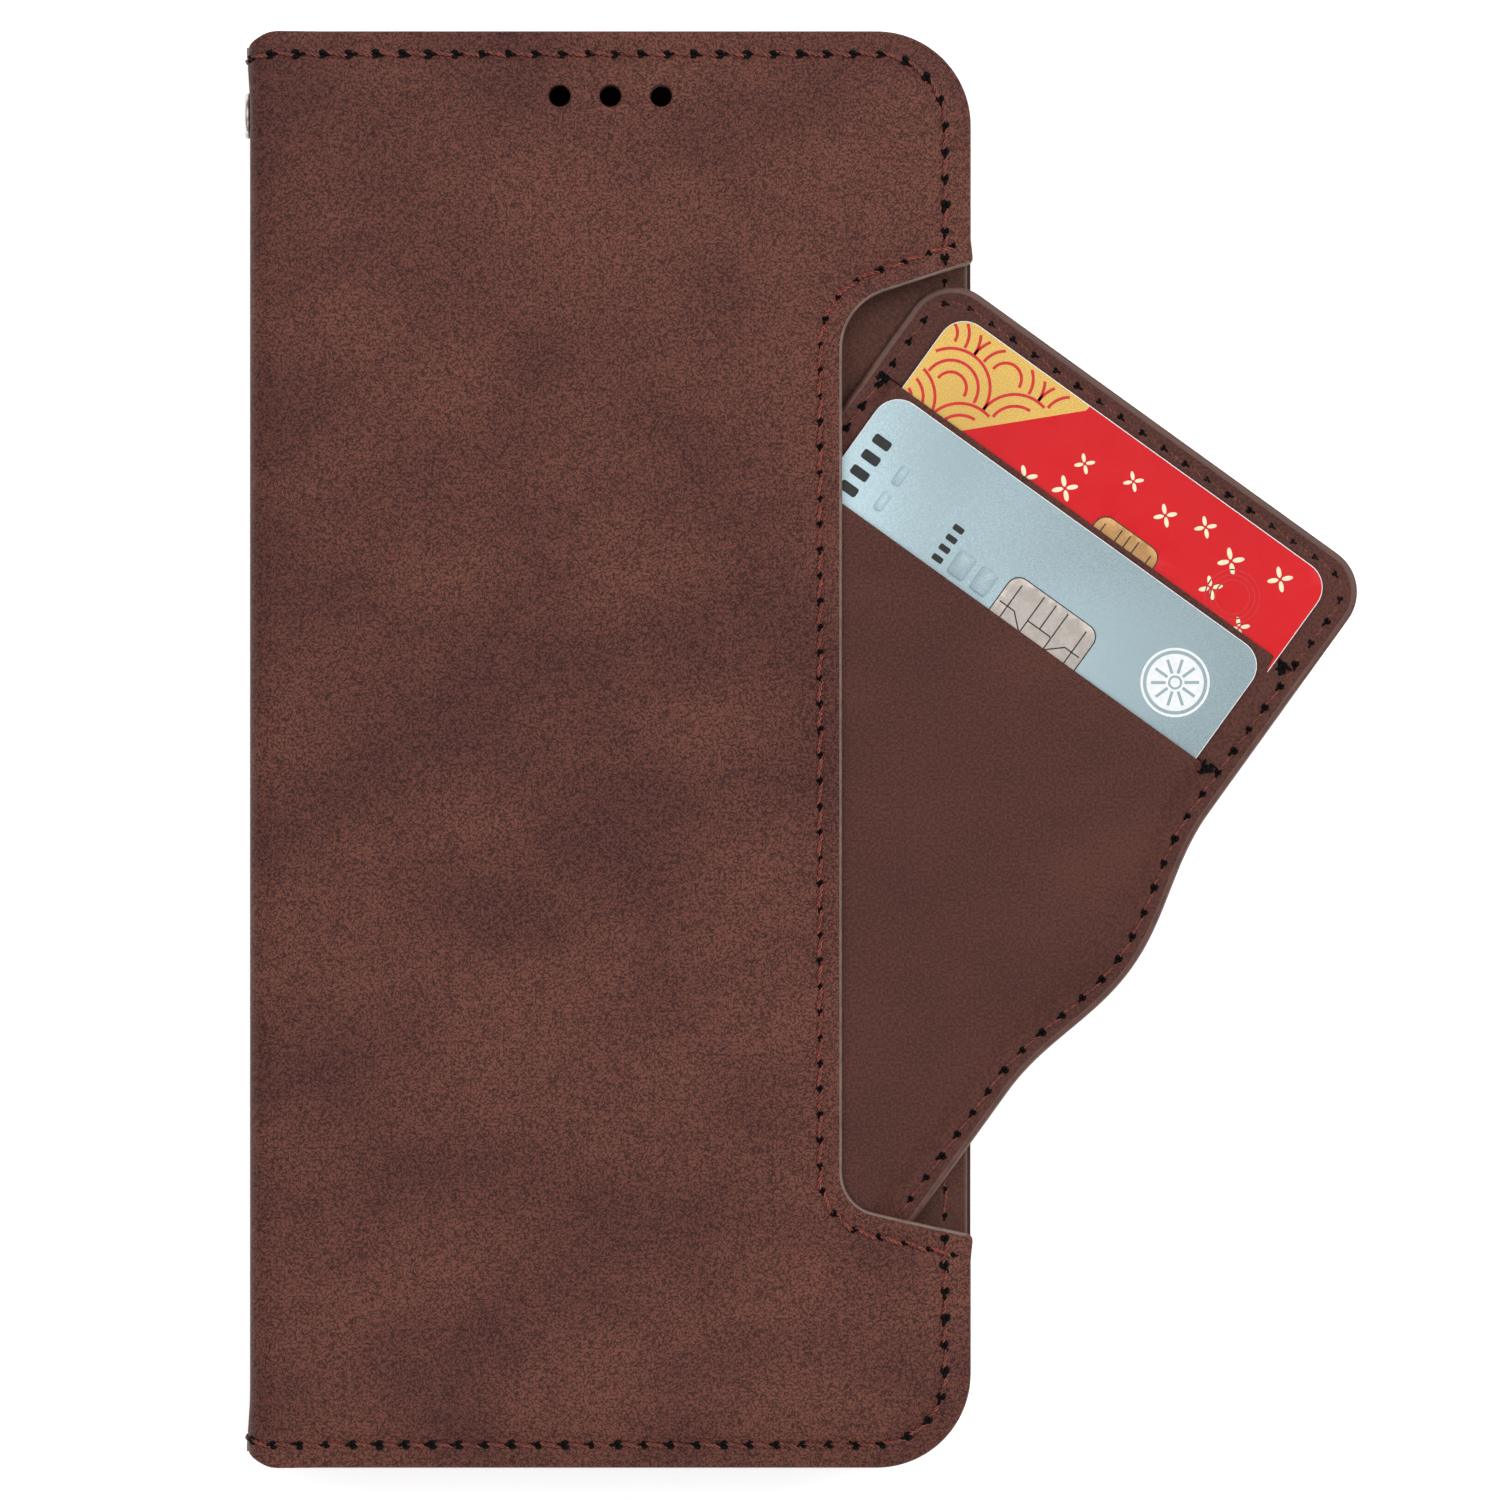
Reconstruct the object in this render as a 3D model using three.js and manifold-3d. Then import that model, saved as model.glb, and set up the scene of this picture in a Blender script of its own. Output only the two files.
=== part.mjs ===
// Phone wallet case: a book-style case with a soft tray for the phone, a padded front cover and a card
// holder that swings out of a side pocket in that cover.
// Millimetres, +Z up. The case lies closed on its back cover: Z rises out of the front face, +Y points to
// the earpiece end and +X to the free edge. The origin is the middle of the back cover's outer face.
// The card holder is shown swung out, with two cards in it.

import * as THREE from "three";
import { mergeVertices } from "three/addons/utils/BufferGeometryUtils.js";
import Module from "manifold-3d";

const wasm = await Module();
wasm.setup();

// ---------------------------------------------------------------- driving dimensions

const HALF_WIDTH = 42;
const HALF_HEIGHT = 83.7;
const PANEL_LEFT = -39.4; // both covers stop short of the spine, which leaves room for the folds
const CORNER_R = 11;
const FOLD_CORNER_R = 1.5;
const CLEARANCE = 0.3; // around anything that sits in a hole or a recess
const FILM_GAP = 0.05; // between sheets that lie on each other

// Heights of the layers, from the face that the case lies on.
const BACK_SKIN = [0, 0.8];
const BACK_BOARD = [0.8, 1.6];
const BACK_LINING = [1.6, 2.1];
const SHELL_FLOOR = [2.1, 3.3];
const SHELL_LIP = [11.8, 12.3];
const SLOT_PANELS = [[13.1, 13.4], [12.75, 13.05], [12.4, 12.7]];
const CASH_PANEL = [13.45, 13.85];
const FRONT_LINING = [13.9, 14.4];
const FRONT_BOARD = [14.4, 15.3];
const FACING = [15.3, 16.0];
const FRONT_SKIN = [19.5, 20.3];
const BOARD_INSET = 1.8;

// Phone tray.
const PHONE = { width: 75.5, height: 159, cornerR: 9 };
const TRAY_CENTRE_X = 0.5;
const TRAY_WALL = 1.2;
const TRAY_LIP = 1.0;
const CAMERA_WINDOW = { left: 6, right: 34, bottom: 36, top: 76, r: 4 };
const CHARGE_PORT = { x: [-6, 7], z: [5, 10] };
const LOUDSPEAKER_SLOT = { x: [12, 22], z: [6, 8.6] };
const BUTTON_CUTOUT = { y: [12, 50], z: [4.6, 10.4] };

// Spine, standing between the two folds.
const SPINE_HALF_LENGTH = 82.4;
const SPINE_SKIN_X = [-42, -41.2];
const SPINE_BOARD_X = [-41.2, -40.7];
const SPINE_LINING_X = [-40.7, -40.3];
const SPINE_Z = [2.4, 17.6];
const EYELET = { y: 74.05, z: 10, boreR: 1.5, barrelR: 1.9, flangeR: 2.65, proud: 0.75, round: 0.35 };
const EYELET_WASHER = { fit: 0.15, thickness: 0.35, barrelPast: 0.45 };

// Front cover: earpiece holes, hidden magnets and the mouth of the side pocket.
const EARPIECE = { y: 76.1, pitch: 5.9, r: 1.25, count: 3 };
const MAGNET = { x: 36.2, y: 26, r: 4 };
const CASH_PANEL_BOX = { left: -36.4, right: 38.6, bottom: -80.8, top: 70, r: 3 };
const SLOT_PANEL_BOX = { left: -33, right: 30, bottom: -52, top: 44, step: 14, r: 2 };
const THUMB_NOTCH = { r: 10, rise: 4 };
const HEM_LEFT = -36;
const HEM_RIGHT = 38.5;
const HEM_Y = 78.5;
const HEM_OVERLAP = 0.4;
const MOUTH = { x: 27, edgeY: 56.6, hemY: 57.4 };
const MOUTH_TOP = { slopeDeg: 18, r: 7 };
const MOUTH_BOTTOM = { slopeDeg: 13, r: 4.75 };

// Card holder, in its own frame: the origin is the pivot rivet and +Y runs up along the holder.
const PIVOT = { x: 5.2, y: -48 };
const SWING_DEG = 35.8;
const HOLDER = { left: -33.8, right: 28.6, bottom: -4.5, top: 104, topR: 5.5, bottomR: 8 };
const BULGE = { y: 50.7, halfLength: 20, height: 3.3 };
const HOLDER_BACK = [16.1, 16.5];
const HOLDER_BOARD = [16.5, 16.8];
const REAR_CARD = [16.85, 17.61];
const DIVIDER = [17.66, 17.96];
const FRONT_CARD = [18.01, 18.77];
const HOLDER_TOP_SKIN = [18.82, 19.2];
const SLIT_UPPER_Y = 89.3;
const SLIT_LOWER_Y = 75;
const SLOT_LEFT = -30.6;
const SLOT_RIGHT = 25.3;
const RIM = 1.2;
const BAR_TACK = { r: 0.8, height: 0.15 };
const UPPER_TACK_X = [25.7, -31.7];
const LOWER_TACK_X = [25.1, -30.8];
const RIVET = { shaftR: 1.5, headR: 3, headHeight: 0.5, tailR: 2.6, tailHeight: 0.25 };
const RIVET_WASHER = { r: 3.5, lift: 0.4 };

// Cards of the standard size, held upright.
const CARD = { width: 53.98, height: 85.6, r: 3.18 };
const REAR_CARD_CORNER = { x: -29.4, y: 101.1 };
const FRONT_CARD_CORNER = { x: -30.3, y: 89.2 };
const REAR_CHIP = { left: -1.9, right: 6.6, bottom: 79.5, top: 91.3 };
const FRONT_CHIP = { left: -6, right: 6.1, bottom: 69.3, top: 80.2 };
const CHIP_DEPTH = 0.2;
const CHIP_R = 1.5;

// ---------------------------------------------------------------- materials

const paint = (color, roughness, metalness = 0) =>
  new THREE.MeshStandardMaterial({ color, roughness, metalness });

const LEATHER = paint(0x5e3c36, 0.62);
const HOLDER_LEATHER = paint(0x5b3a35, 0.6);
const LINING = paint(0x3f2823, 0.95);
const GREYBOARD = paint(0x9a9186, 0.9);
const TRAY_PLASTIC = paint(0x3a2520, 0.5);
const STEEL = paint(0xc9c5bd, 0.25, 1);
const MAGNET_METAL = paint(0x8d8f92, 0.4, 1);
const BLACK_THREAD = paint(0x151413, 0.8);
const RED_PLASTIC = paint(0xe12029, 0.35);
const BLUE_PLASTIC = paint(0xa2bfc9, 0.35);
const GOLD_CONTACTS = paint(0xc8a56e, 0.3, 0.9);
const SILVER_CONTACTS = paint(0xc8beb4, 0.3, 0.9);

// ---------------------------------------------------------------- outlines and solids

// A closed outline through [x, y, radius] corners, listed anticlockwise. A radius of 0 stays sharp.
function outline(corners) {
  const shape = new THREE.Shape();
  corners.forEach(([x, y, r = 0], i) => {
    const here = new THREE.Vector2(x, y);
    const before = new THREE.Vector2(...corners.at(i - 1));
    const after = new THREE.Vector2(...corners[(i + 1) % corners.length]);
    const toBefore = before.sub(here).normalize();
    const toAfter = after.sub(here).normalize();
    const half = Math.acos(THREE.MathUtils.clamp(toBefore.dot(toAfter), -1, 1)) / 2;
    const reach = r / Math.tan(half);
    const start = here.clone().addScaledVector(toBefore, reach);
    const go = i === 0 ? "moveTo" : "lineTo";
    shape[go](start.x, start.y);
    if (r === 0) {
      return;
    }
    const bisector = toBefore.clone().add(toAfter).normalize();
    const centre = here.clone().addScaledVector(bisector, r / Math.sin(half));
    const end = here.clone().addScaledVector(toAfter, reach);
    const turnsLeft = -toBefore.cross(toAfter) > 0;
    const angle = (p) => Math.atan2(p.y - centre.y, p.x - centre.x);
    shape.absarc(centre.x, centre.y, r, angle(start), angle(end), !turnsLeft);
  });
  shape.closePath();
  return shape;
}

const rectangle = (left, bottom, right, top, r = 0) =>
  outline([[left, bottom, r], [right, bottom, r], [right, top, r], [left, top, r]]);

// The outline of a cover, with its big corners on the free edge, drawn in by an inset.
function coverOutline(inset = 0) {
  const left = PANEL_LEFT + inset;
  const right = HALF_WIDTH - inset;
  const top = HALF_HEIGHT - inset;
  const r = CORNER_R - inset;
  return outline([
    [left, -top, FOLD_CORNER_R],
    [right, -top, r],
    [right, top, r],
    [left, top, FOLD_CORNER_R],
  ]);
}

// A flat sheet with this outline, between two heights.
function sheet(shape, [low, high], arcSteps = 4) {
  const options = { depth: high - low, bevelEnabled: false, curveSegments: arcSteps };
  return new THREE.ExtrudeGeometry(shape, options).translate(0, 0, low);
}

const disc = (x, y, r, [low, high], sides = 24) =>
  new THREE.CylinderGeometry(r, r, high - low, sides).rotateX(Math.PI / 2).translate(x, y, (low + high) / 2);

function toSolid(geometry) {
  const bare = new THREE.BufferGeometry();
  bare.setAttribute("position", geometry.getAttribute("position").clone());
  if (geometry.index) {
    bare.setIndex(geometry.index.clone());
  }
  const merged = mergeVertices(bare, 1e-4);
  return new wasm.Manifold(
    new wasm.Mesh({
      numProp: 3,
      vertProperties: merged.getAttribute("position").array,
      triVerts: new Uint32Array(merged.index.array),
    }),
  );
}

function toGeometry(solid) {
  const mesh = solid.getMesh();
  return new THREE.BufferGeometry()
    .setAttribute("position", new THREE.BufferAttribute(mesh.vertProperties, 3))
    .setIndex(new THREE.BufferAttribute(mesh.triVerts, 1));
}

function join(...geometries) {
  const solids = geometries.map(toSolid);
  return toGeometry(solids.reduce((whole, next) => whole.add(next)));
}

function cut(body, ...tools) {
  return toGeometry(tools.map(toSolid).reduce((whole, tool) => whole.subtract(tool), toSolid(body)));
}

const common = (a, b) => toGeometry(toSolid(a).intersect(toSolid(b)));

function add(group, name, geometry, material) {
  geometry.computeVertexNormals();
  const mesh = new THREE.Mesh(geometry, material);
  mesh.name = name;
  group.add(mesh);
}

// A span of heights that reaches past both faces, for a tool that cuts right through.
const through = ([low, high]) => [low - 1, high + 1];

const box = ([x0, x1], [y0, y1], [z0, z1]) => sheet(rectangle(x0, y0, x1, y1), [z0, z1]);

// ---------------------------------------------------------------- back cover and phone tray

function windowTool(span) {
  const w = CAMERA_WINDOW;
  return sheet(rectangle(w.left, w.bottom, w.right, w.top, w.r), through(span));
}

// Two button magnets let into a board, and the holes that they sit in.
const magnetSpots = [
  ["upper", MAGNET.y],
  ["lower", -MAGNET.y],
];

const magnetHoles = (span) =>
  magnetSpots.map(([, y]) => disc(MAGNET.x, y, MAGNET.r + CLEARANCE, through(span)));

function addMagnets(group, prefix, [low, high]) {
  for (const [label, y] of magnetSpots) {
    const span = [low + FILM_GAP, high - FILM_GAP];
    add(group, `${prefix}_magnet_${label}`, disc(MAGNET.x, y, MAGNET.r, span), MAGNET_METAL);
  }
}

function phoneTray() {
  const outerX = PHONE.width / 2 + TRAY_WALL;
  const outerY = PHONE.height / 2 + TRAY_WALL;
  const layer = (inset, span, r) =>
    sheet(
      rectangle(
        TRAY_CENTRE_X - outerX + inset,
        -outerY + inset,
        TRAY_CENTRE_X + outerX - inset,
        outerY - inset,
        r,
      ),
      span,
      5,
    );
  const blank = layer(0, [SHELL_FLOOR[0], SHELL_LIP[1]], PHONE.cornerR + TRAY_WALL);
  const bay = layer(TRAY_WALL, [SHELL_FLOOR[1], SHELL_LIP[0]], PHONE.cornerR);
  const mouth = layer(TRAY_WALL + TRAY_LIP, [SHELL_FLOOR[1] + 1, SHELL_LIP[1] + 1], PHONE.cornerR - 0.5);
  const endWall = [-outerY - 1, -outerY + TRAY_WALL + 0.5];
  const sideWall = [TRAY_CENTRE_X + outerX - TRAY_WALL - 0.5, TRAY_CENTRE_X + outerX + 1];
  const chargePort = box(CHARGE_PORT.x, endWall, CHARGE_PORT.z);
  const loudspeaker = box(LOUDSPEAKER_SLOT.x, endWall, LOUDSPEAKER_SLOT.z);
  const buttons = box(sideWall, BUTTON_CUTOUT.y, BUTTON_CUTOUT.z);
  return cut(blank, bay, mouth, windowTool(SHELL_FLOOR), chargePort, loudspeaker, buttons);
}

function backCover() {
  const group = new THREE.Group();
  add(group, "back_skin", cut(sheet(coverOutline(), BACK_SKIN), windowTool(BACK_SKIN)), LEATHER);
  const board = sheet(coverOutline(BOARD_INSET), BACK_BOARD);
  add(group, "back_board", cut(board, windowTool(BACK_BOARD), ...magnetHoles(BACK_BOARD)), GREYBOARD);
  add(group, "back_lining", cut(sheet(coverOutline(), BACK_LINING), windowTool(BACK_LINING)), LINING);
  addMagnets(group, "back", BACK_BOARD);
  add(group, "phone_shell", phoneTray(), TRAY_PLASTIC);
  return group;
}

// ---------------------------------------------------------------- spine and strap eyelet

// One upright layer of the spine, with the hole that the eyelet's barrel passes.
function spineLayer([x0, x1], inset) {
  const strip = box([x0, x1], [-SPINE_HALF_LENGTH + inset, SPINE_HALF_LENGTH - inset], [
    SPINE_Z[0] + inset,
    SPINE_Z[1] - inset,
  ]);
  const hole = new THREE.CylinderGeometry(EYELET.barrelR + CLEARANCE, EYELET.barrelR + CLEARANCE, 6, 24);
  hole.rotateZ(Math.PI / 2).translate(x0, EYELET.y, EYELET.z);
  return cut(strip, hole);
}

// A round part turned about the eyelet's axis: [radius, distance inwards from the spine's outer face].
function turnedOnEyelet(profile) {
  const points = profile.map(([r, depth]) => new THREE.Vector2(r, depth));
  const part = new THREE.LatheGeometry([...points, points[0].clone()], 24);
  return part.rotateZ(-Math.PI / 2).translate(SPINE_SKIN_X[0], EYELET.y, EYELET.z);
}

function spine() {
  const group = new THREE.Group();
  add(group, "spine_skin", spineLayer(SPINE_SKIN_X, 0), LEATHER);
  add(group, "spine_board", spineLayer(SPINE_BOARD_X, BOARD_INSET), GREYBOARD);
  add(group, "spine_lining", spineLayer(SPINE_LINING_X, 0), LINING);
  const { boreR, barrelR, flangeR, proud, round } = EYELET;
  const inside = SPINE_LINING_X[1] - SPINE_SKIN_X[0];
  const eyelet = turnedOnEyelet([
    [boreR, round - proud],
    [boreR + round, -proud],
    [flangeR - round, -proud],
    [flangeR, round - proud],
    [flangeR, 0],
    [barrelR, 0],
    [barrelR, inside + EYELET_WASHER.barrelPast],
    [boreR, inside + EYELET_WASHER.barrelPast],
  ]);
  add(group, "strap_eyelet", eyelet, STEEL);
  const washerR = barrelR + EYELET_WASHER.fit;
  const washer = turnedOnEyelet([
    [washerR, inside],
    [flangeR, inside],
    [flangeR, inside + EYELET_WASHER.thickness],
    [washerR, inside + EYELET_WASHER.thickness],
  ]);
  add(group, "eyelet_washer", washer, STEEL);
  return group;
}

// ---------------------------------------------------------------- front cover

function earpieceTools(span) {
  const middle = (EARPIECE.count - 1) / 2;
  return Array.from({ length: EARPIECE.count }, (_, i) =>
    disc((i - middle) * EARPIECE.pitch, EARPIECE.y, EARPIECE.r, through(span), 16),
  );
}

// The front skin's outline: the cover's, with the mouth of the card pocket cut out of its free edge.
function frontSkinOutline() {
  const slope = (deg) => Math.tan(THREE.MathUtils.degToRad(deg)) * (HALF_WIDTH - MOUTH.x);
  return outline([
    [PANEL_LEFT, -HALF_HEIGHT, FOLD_CORNER_R],
    [HALF_WIDTH, -HALF_HEIGHT, CORNER_R],
    [HALF_WIDTH, -MOUTH.edgeY],
    [MOUTH.x, -MOUTH.edgeY + slope(MOUTH_BOTTOM.slopeDeg), MOUTH_BOTTOM.r],
    [MOUTH.x, MOUTH.edgeY - slope(MOUTH_TOP.slopeDeg), MOUTH_TOP.r],
    [HALF_WIDTH, MOUTH.edgeY],
    [HALF_WIDTH, HALF_HEIGHT, CORNER_R],
    [PANEL_LEFT, HALF_HEIGHT, FOLD_CORNER_R],
  ]);
}

// The skin over the pocket, with the hem that closes the pocket all round except at its mouth.
function frontSkin() {
  const top = sheet(frontSkinOutline(), FRONT_SKIN);
  const hemSpan = [FACING[1], FRONT_SKIN[0] + HEM_OVERLAP];
  const block = sheet(coverOutline(), hemSpan);
  const cavity = sheet(rectangle(HEM_LEFT, -HEM_Y, HEM_RIGHT, HEM_Y, 2), through(hemSpan));
  const mouth = box([0, HALF_WIDTH + 1], [-MOUTH.hemY, MOUTH.hemY], through(hemSpan));
  return cut(join(top, cut(block, cavity, mouth)), ...earpieceTools([FACING[1], FRONT_SKIN[1]]));
}

// One of the stepped card slots inside the cover, with a notch for the thumb in its open edge.
function cardSlotPanel(index) {
  const { left, right, bottom, step, r } = SLOT_PANEL_BOX;
  const span = SLOT_PANELS[index];
  const top = SLOT_PANEL_BOX.top - step * index;
  const notch = disc((left + right) / 2, top + THUMB_NOTCH.rise, THUMB_NOTCH.r, through(span), 32);
  return cut(sheet(rectangle(left, bottom, right, top, r), span), notch);
}

// A rivet turned about the holder's pivot, clamping the holder's back to the front board.
function pivotRivet() {
  const { shaftR, headR, headHeight, tailR, tailHeight } = RIVET;
  const headLow = HOLDER_BOARD[1] + FILM_GAP;
  const tailLow = FRONT_BOARD[0] + FILM_GAP;
  const profile = [
    [0, tailLow],
    [tailR, tailLow],
    [tailR, tailLow + tailHeight],
    [shaftR, tailLow + tailHeight],
    [shaftR, headLow],
    [headR, headLow],
    [headR, headLow + 0.7 * headHeight],
    [0.8 * headR, headLow + headHeight],
    [0, headLow + headHeight],
  ];
  const points = profile.map(([r, z]) => new THREE.Vector2(r, z));
  return new THREE.LatheGeometry(points, 24).rotateX(Math.PI / 2).translate(PIVOT.x, PIVOT.y, 0);
}

function frontCover() {
  const group = new THREE.Group();
  const pivotHole = (r, span) => disc(PIVOT.x, PIVOT.y, r, through(span));
  const layer = (inset, span, ...tools) =>
    cut(sheet(coverOutline(inset), span), ...earpieceTools(span), ...tools);
  add(group, "front_skin", frontSkin(), LEATHER);
  const shaftHoleR = RIVET.shaftR + CLEARANCE;
  add(group, "pocket_facing", layer(0, FACING, pivotHole(shaftHoleR, FACING)), LEATHER);
  const boardHole = pivotHole(RIVET_WASHER.r + CLEARANCE, FRONT_BOARD);
  const board = layer(BOARD_INSET, FRONT_BOARD, boardHole, ...magnetHoles(FRONT_BOARD));
  add(group, "front_board", board, GREYBOARD);
  add(group, "front_lining", layer(0, FRONT_LINING), LINING);
  addMagnets(group, "front", FRONT_BOARD);
  const { left, bottom, right, top, r } = CASH_PANEL_BOX;
  add(group, "cash_pocket_panel", sheet(rectangle(left, bottom, right, top, r), CASH_PANEL), LEATHER);
  SLOT_PANELS.forEach((_, i) => {
    add(group, `card_slot_panel_${i + 1}`, cardSlotPanel(i), LEATHER);
  });
  add(group, "pivot_rivet", pivotRivet(), STEEL);
  const washerSpan = [FRONT_BOARD[0] + RIVET_WASHER.lift, FRONT_BOARD[1] - FILM_GAP];
  const washerBlank = disc(PIVOT.x, PIVOT.y, RIVET_WASHER.r, washerSpan);
  const washer = cut(washerBlank, pivotHole(shaftHoleR, washerSpan));
  add(group, "rivet_washer", washer, STEEL);
  return group;
}

// ---------------------------------------------------------------- swing-out card holder

// The holder's outline, with the thumb bulge on its right edge as one smooth swell.
function holderOutline() {
  const { left, right, bottom, top, topR, bottomR } = HOLDER;
  const steps = 14;
  const swell = Array.from({ length: steps + 1 }, (_, i) => {
    const t = (2 * i) / steps - 1;
    const rise = (BULGE.height * (1 + Math.cos(Math.PI * t))) / 2;
    return [right + rise, BULGE.y + t * BULGE.halfLength];
  });
  return outline([
    [left, bottom, bottomR],
    [right, bottom, bottomR],
    ...swell,
    [right, top, topR],
    [left, top, topR],
  ]);
}

// The holder's front skin: one sheet that steps up over each card, with a slit under each step.
function holderFrontSkin() {
  const whole = (span) => sheet(holderOutline(), span);
  const acrossX = [HOLDER.left - 1, HOLDER.right + BULGE.height + 1];
  const band = (y0, y1, span) => common(whole(span), box(acrossX, [y0, y1], through(span)));
  const overlap = 0.2;
  const slotX = [SLOT_LEFT, SLOT_RIGHT];
  const slotY = [HOLDER.bottom + RIM, HOLDER.top];
  const rims = (y0, y1, span) => cut(band(y0, y1, span), box(slotX, slotY, through(span)));
  const behindRearCard = band(SLIT_UPPER_Y, HOLDER.top, HOLDER_BOARD);
  const overRearCard = band(SLIT_LOWER_Y, SLIT_UPPER_Y, DIVIDER);
  const overFrontCard = band(HOLDER.bottom, SLIT_LOWER_Y, HOLDER_TOP_SKIN);
  const upperRims = rims(SLIT_LOWER_Y, SLIT_UPPER_Y + overlap, [HOLDER_BOARD[0], DIVIDER[1]]);
  const lowerRims = rims(HOLDER.bottom, SLIT_LOWER_Y + overlap, [HOLDER_BOARD[0], HOLDER_TOP_SKIN[1]]);
  return join(behindRearCard, upperRims, overRearCard, lowerRims, overFrontCard);
}

// A card hanging from its top left corner, with a shallow recess for its contact plate.
function card([low, high], corner, chip) {
  const { width, height, r } = CARD;
  const blank = sheet(rectangle(corner.x, corner.y - height, corner.x + width, corner.y, r), [low, high]);
  const recess = rectangle(
    chip.left - CLEARANCE,
    chip.bottom - CLEARANCE,
    chip.right + CLEARANCE,
    chip.top + CLEARANCE,
    CHIP_R,
  );
  return cut(blank, sheet(recess, [high - CHIP_DEPTH, high + 1]));
}

function chipPlate(chip, top) {
  return sheet(rectangle(chip.left, chip.bottom, chip.right, chip.top, CHIP_R), [top - CHIP_DEPTH, top]);
}

function cardHolder() {
  const group = new THREE.Group();
  group.position.set(PIVOT.x, PIVOT.y, 0);
  group.rotation.z = -THREE.MathUtils.degToRad(SWING_DEG);
  const shaftHole = (span) => disc(0, 0, RIVET.shaftR + CLEARANCE, through(span));
  const slotX = [SLOT_LEFT + CLEARANCE, SLOT_RIGHT - CLEARANCE];
  const back = cut(sheet(holderOutline(), HOLDER_BACK), shaftHole(HOLDER_BACK));
  add(group, "holder_back_skin", back, HOLDER_LEATHER);
  const boardY = [HOLDER.bottom + RIM + CLEARANCE, SLIT_UPPER_Y - CLEARANCE];
  const board = cut(box(slotX, boardY, HOLDER_BOARD), shaftHole(HOLDER_BOARD));
  add(group, "holder_board", board, GREYBOARD);
  add(group, "holder_front_skin", holderFrontSkin(), HOLDER_LEATHER);
  const dividerY = [HOLDER.bottom + 2 * RIM, SLIT_LOWER_Y - CLEARANCE];
  add(group, "holder_divider", box(slotX, dividerY, DIVIDER), LINING);

  const tackRows = [
    [UPPER_TACK_X, SLIT_UPPER_Y, DIVIDER[1]],
    [LOWER_TACK_X, SLIT_LOWER_Y, HOLDER_TOP_SKIN[1]],
  ];
  const tacks = tackRows.flatMap(([xs, y, z]) => xs.map((x) => [x, y - BAR_TACK.r / 2, z]));
  tacks.forEach(([x, y, z], i) => {
    const tack = disc(x, y, BAR_TACK.r, [z, z + BAR_TACK.height], 16);
    add(group, `bar_tack_${i + 1}`, tack, BLACK_THREAD);
  });

  add(group, "rear_card", card(REAR_CARD, REAR_CARD_CORNER, REAR_CHIP), RED_PLASTIC);
  add(group, "rear_card_chip", chipPlate(REAR_CHIP, REAR_CARD[1]), GOLD_CONTACTS);
  add(group, "front_card", card(FRONT_CARD, FRONT_CARD_CORNER, FRONT_CHIP), BLUE_PLASTIC);
  add(group, "front_card_chip", chipPlate(FRONT_CHIP, FRONT_CARD[1]), SILVER_CONTACTS);
  return group;
}

// ---------------------------------------------------------------- assembly

const phoneWalletCase = new THREE.Group();
phoneWalletCase.add(backCover(), spine(), frontCover(), cardHolder());

export default phoneWalletCase;
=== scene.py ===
"""Looks of the phone wallet case: leather, seams, cards and metal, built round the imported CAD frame.

Every length below is in millimetres and every height is measured from the face the case lies on.
Meshes are turned into metres when they are made.
"""

import math

import bmesh
import bpy
import numpy as np
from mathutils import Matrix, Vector
from mathutils.geometry import delaunay_2d_cdt


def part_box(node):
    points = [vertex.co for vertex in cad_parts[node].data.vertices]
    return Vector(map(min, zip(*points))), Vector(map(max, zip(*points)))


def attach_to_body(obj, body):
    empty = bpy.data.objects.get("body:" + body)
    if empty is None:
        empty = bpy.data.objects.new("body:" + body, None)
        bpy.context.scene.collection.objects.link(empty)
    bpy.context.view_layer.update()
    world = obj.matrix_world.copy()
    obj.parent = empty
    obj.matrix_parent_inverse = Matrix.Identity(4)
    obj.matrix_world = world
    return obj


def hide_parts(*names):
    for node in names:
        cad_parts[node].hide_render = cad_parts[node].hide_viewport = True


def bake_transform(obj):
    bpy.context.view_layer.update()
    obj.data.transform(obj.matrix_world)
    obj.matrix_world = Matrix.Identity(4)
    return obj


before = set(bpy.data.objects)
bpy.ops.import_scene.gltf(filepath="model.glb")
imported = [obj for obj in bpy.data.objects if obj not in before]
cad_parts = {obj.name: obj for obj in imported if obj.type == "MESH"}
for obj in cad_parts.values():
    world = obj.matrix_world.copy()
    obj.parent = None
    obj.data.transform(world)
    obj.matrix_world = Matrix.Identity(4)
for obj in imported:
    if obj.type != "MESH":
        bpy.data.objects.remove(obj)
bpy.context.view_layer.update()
PER_METRE = 1000.0


def span(node, axis):
    """The lowest and highest coordinate of a CAD node along x, y or z."""
    low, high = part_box(node)
    i = "xyz".index(axis)
    return low[i] * PER_METRE, high[i] * PER_METRE


# ---- driving sizes, from the frame

FOLD_X, FREE_X = span("front_skin", "x")
HALF_Y = span("front_skin", "y")[1]
HEM_Z, TOP_Z = span("front_skin", "z")
FACING_Z = span("pocket_facing", "z")
COVER_LINING_Z = span("front_lining", "z")[0]
BACK_SKIN_Z = span("back_skin", "z")[1]
BACK_LINING_Z = span("back_lining", "z")
SPINE_X = span("spine_skin", "x")[0]
SPINE_LINING_X = span("spine_lining", "x")
SPINE_HALF_Y = span("spine_skin", "y")[1]
EYELET_X = span("strap_eyelet", "x")
EYELET_Y = sum(span("strap_eyelet", "y")) / 2
EYELET_Z = sum(span("strap_eyelet", "z")) / 2
EYELET_R = (span("strap_eyelet", "z")[1] - span("strap_eyelet", "z")[0]) / 2
HOLDER_BACK_Z = span("holder_back_skin", "z")
HOLDER_TOP_Z = span("holder_front_skin", "z")[1]
DIVIDER_TOP_Z = span("holder_divider", "z")[1]
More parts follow.
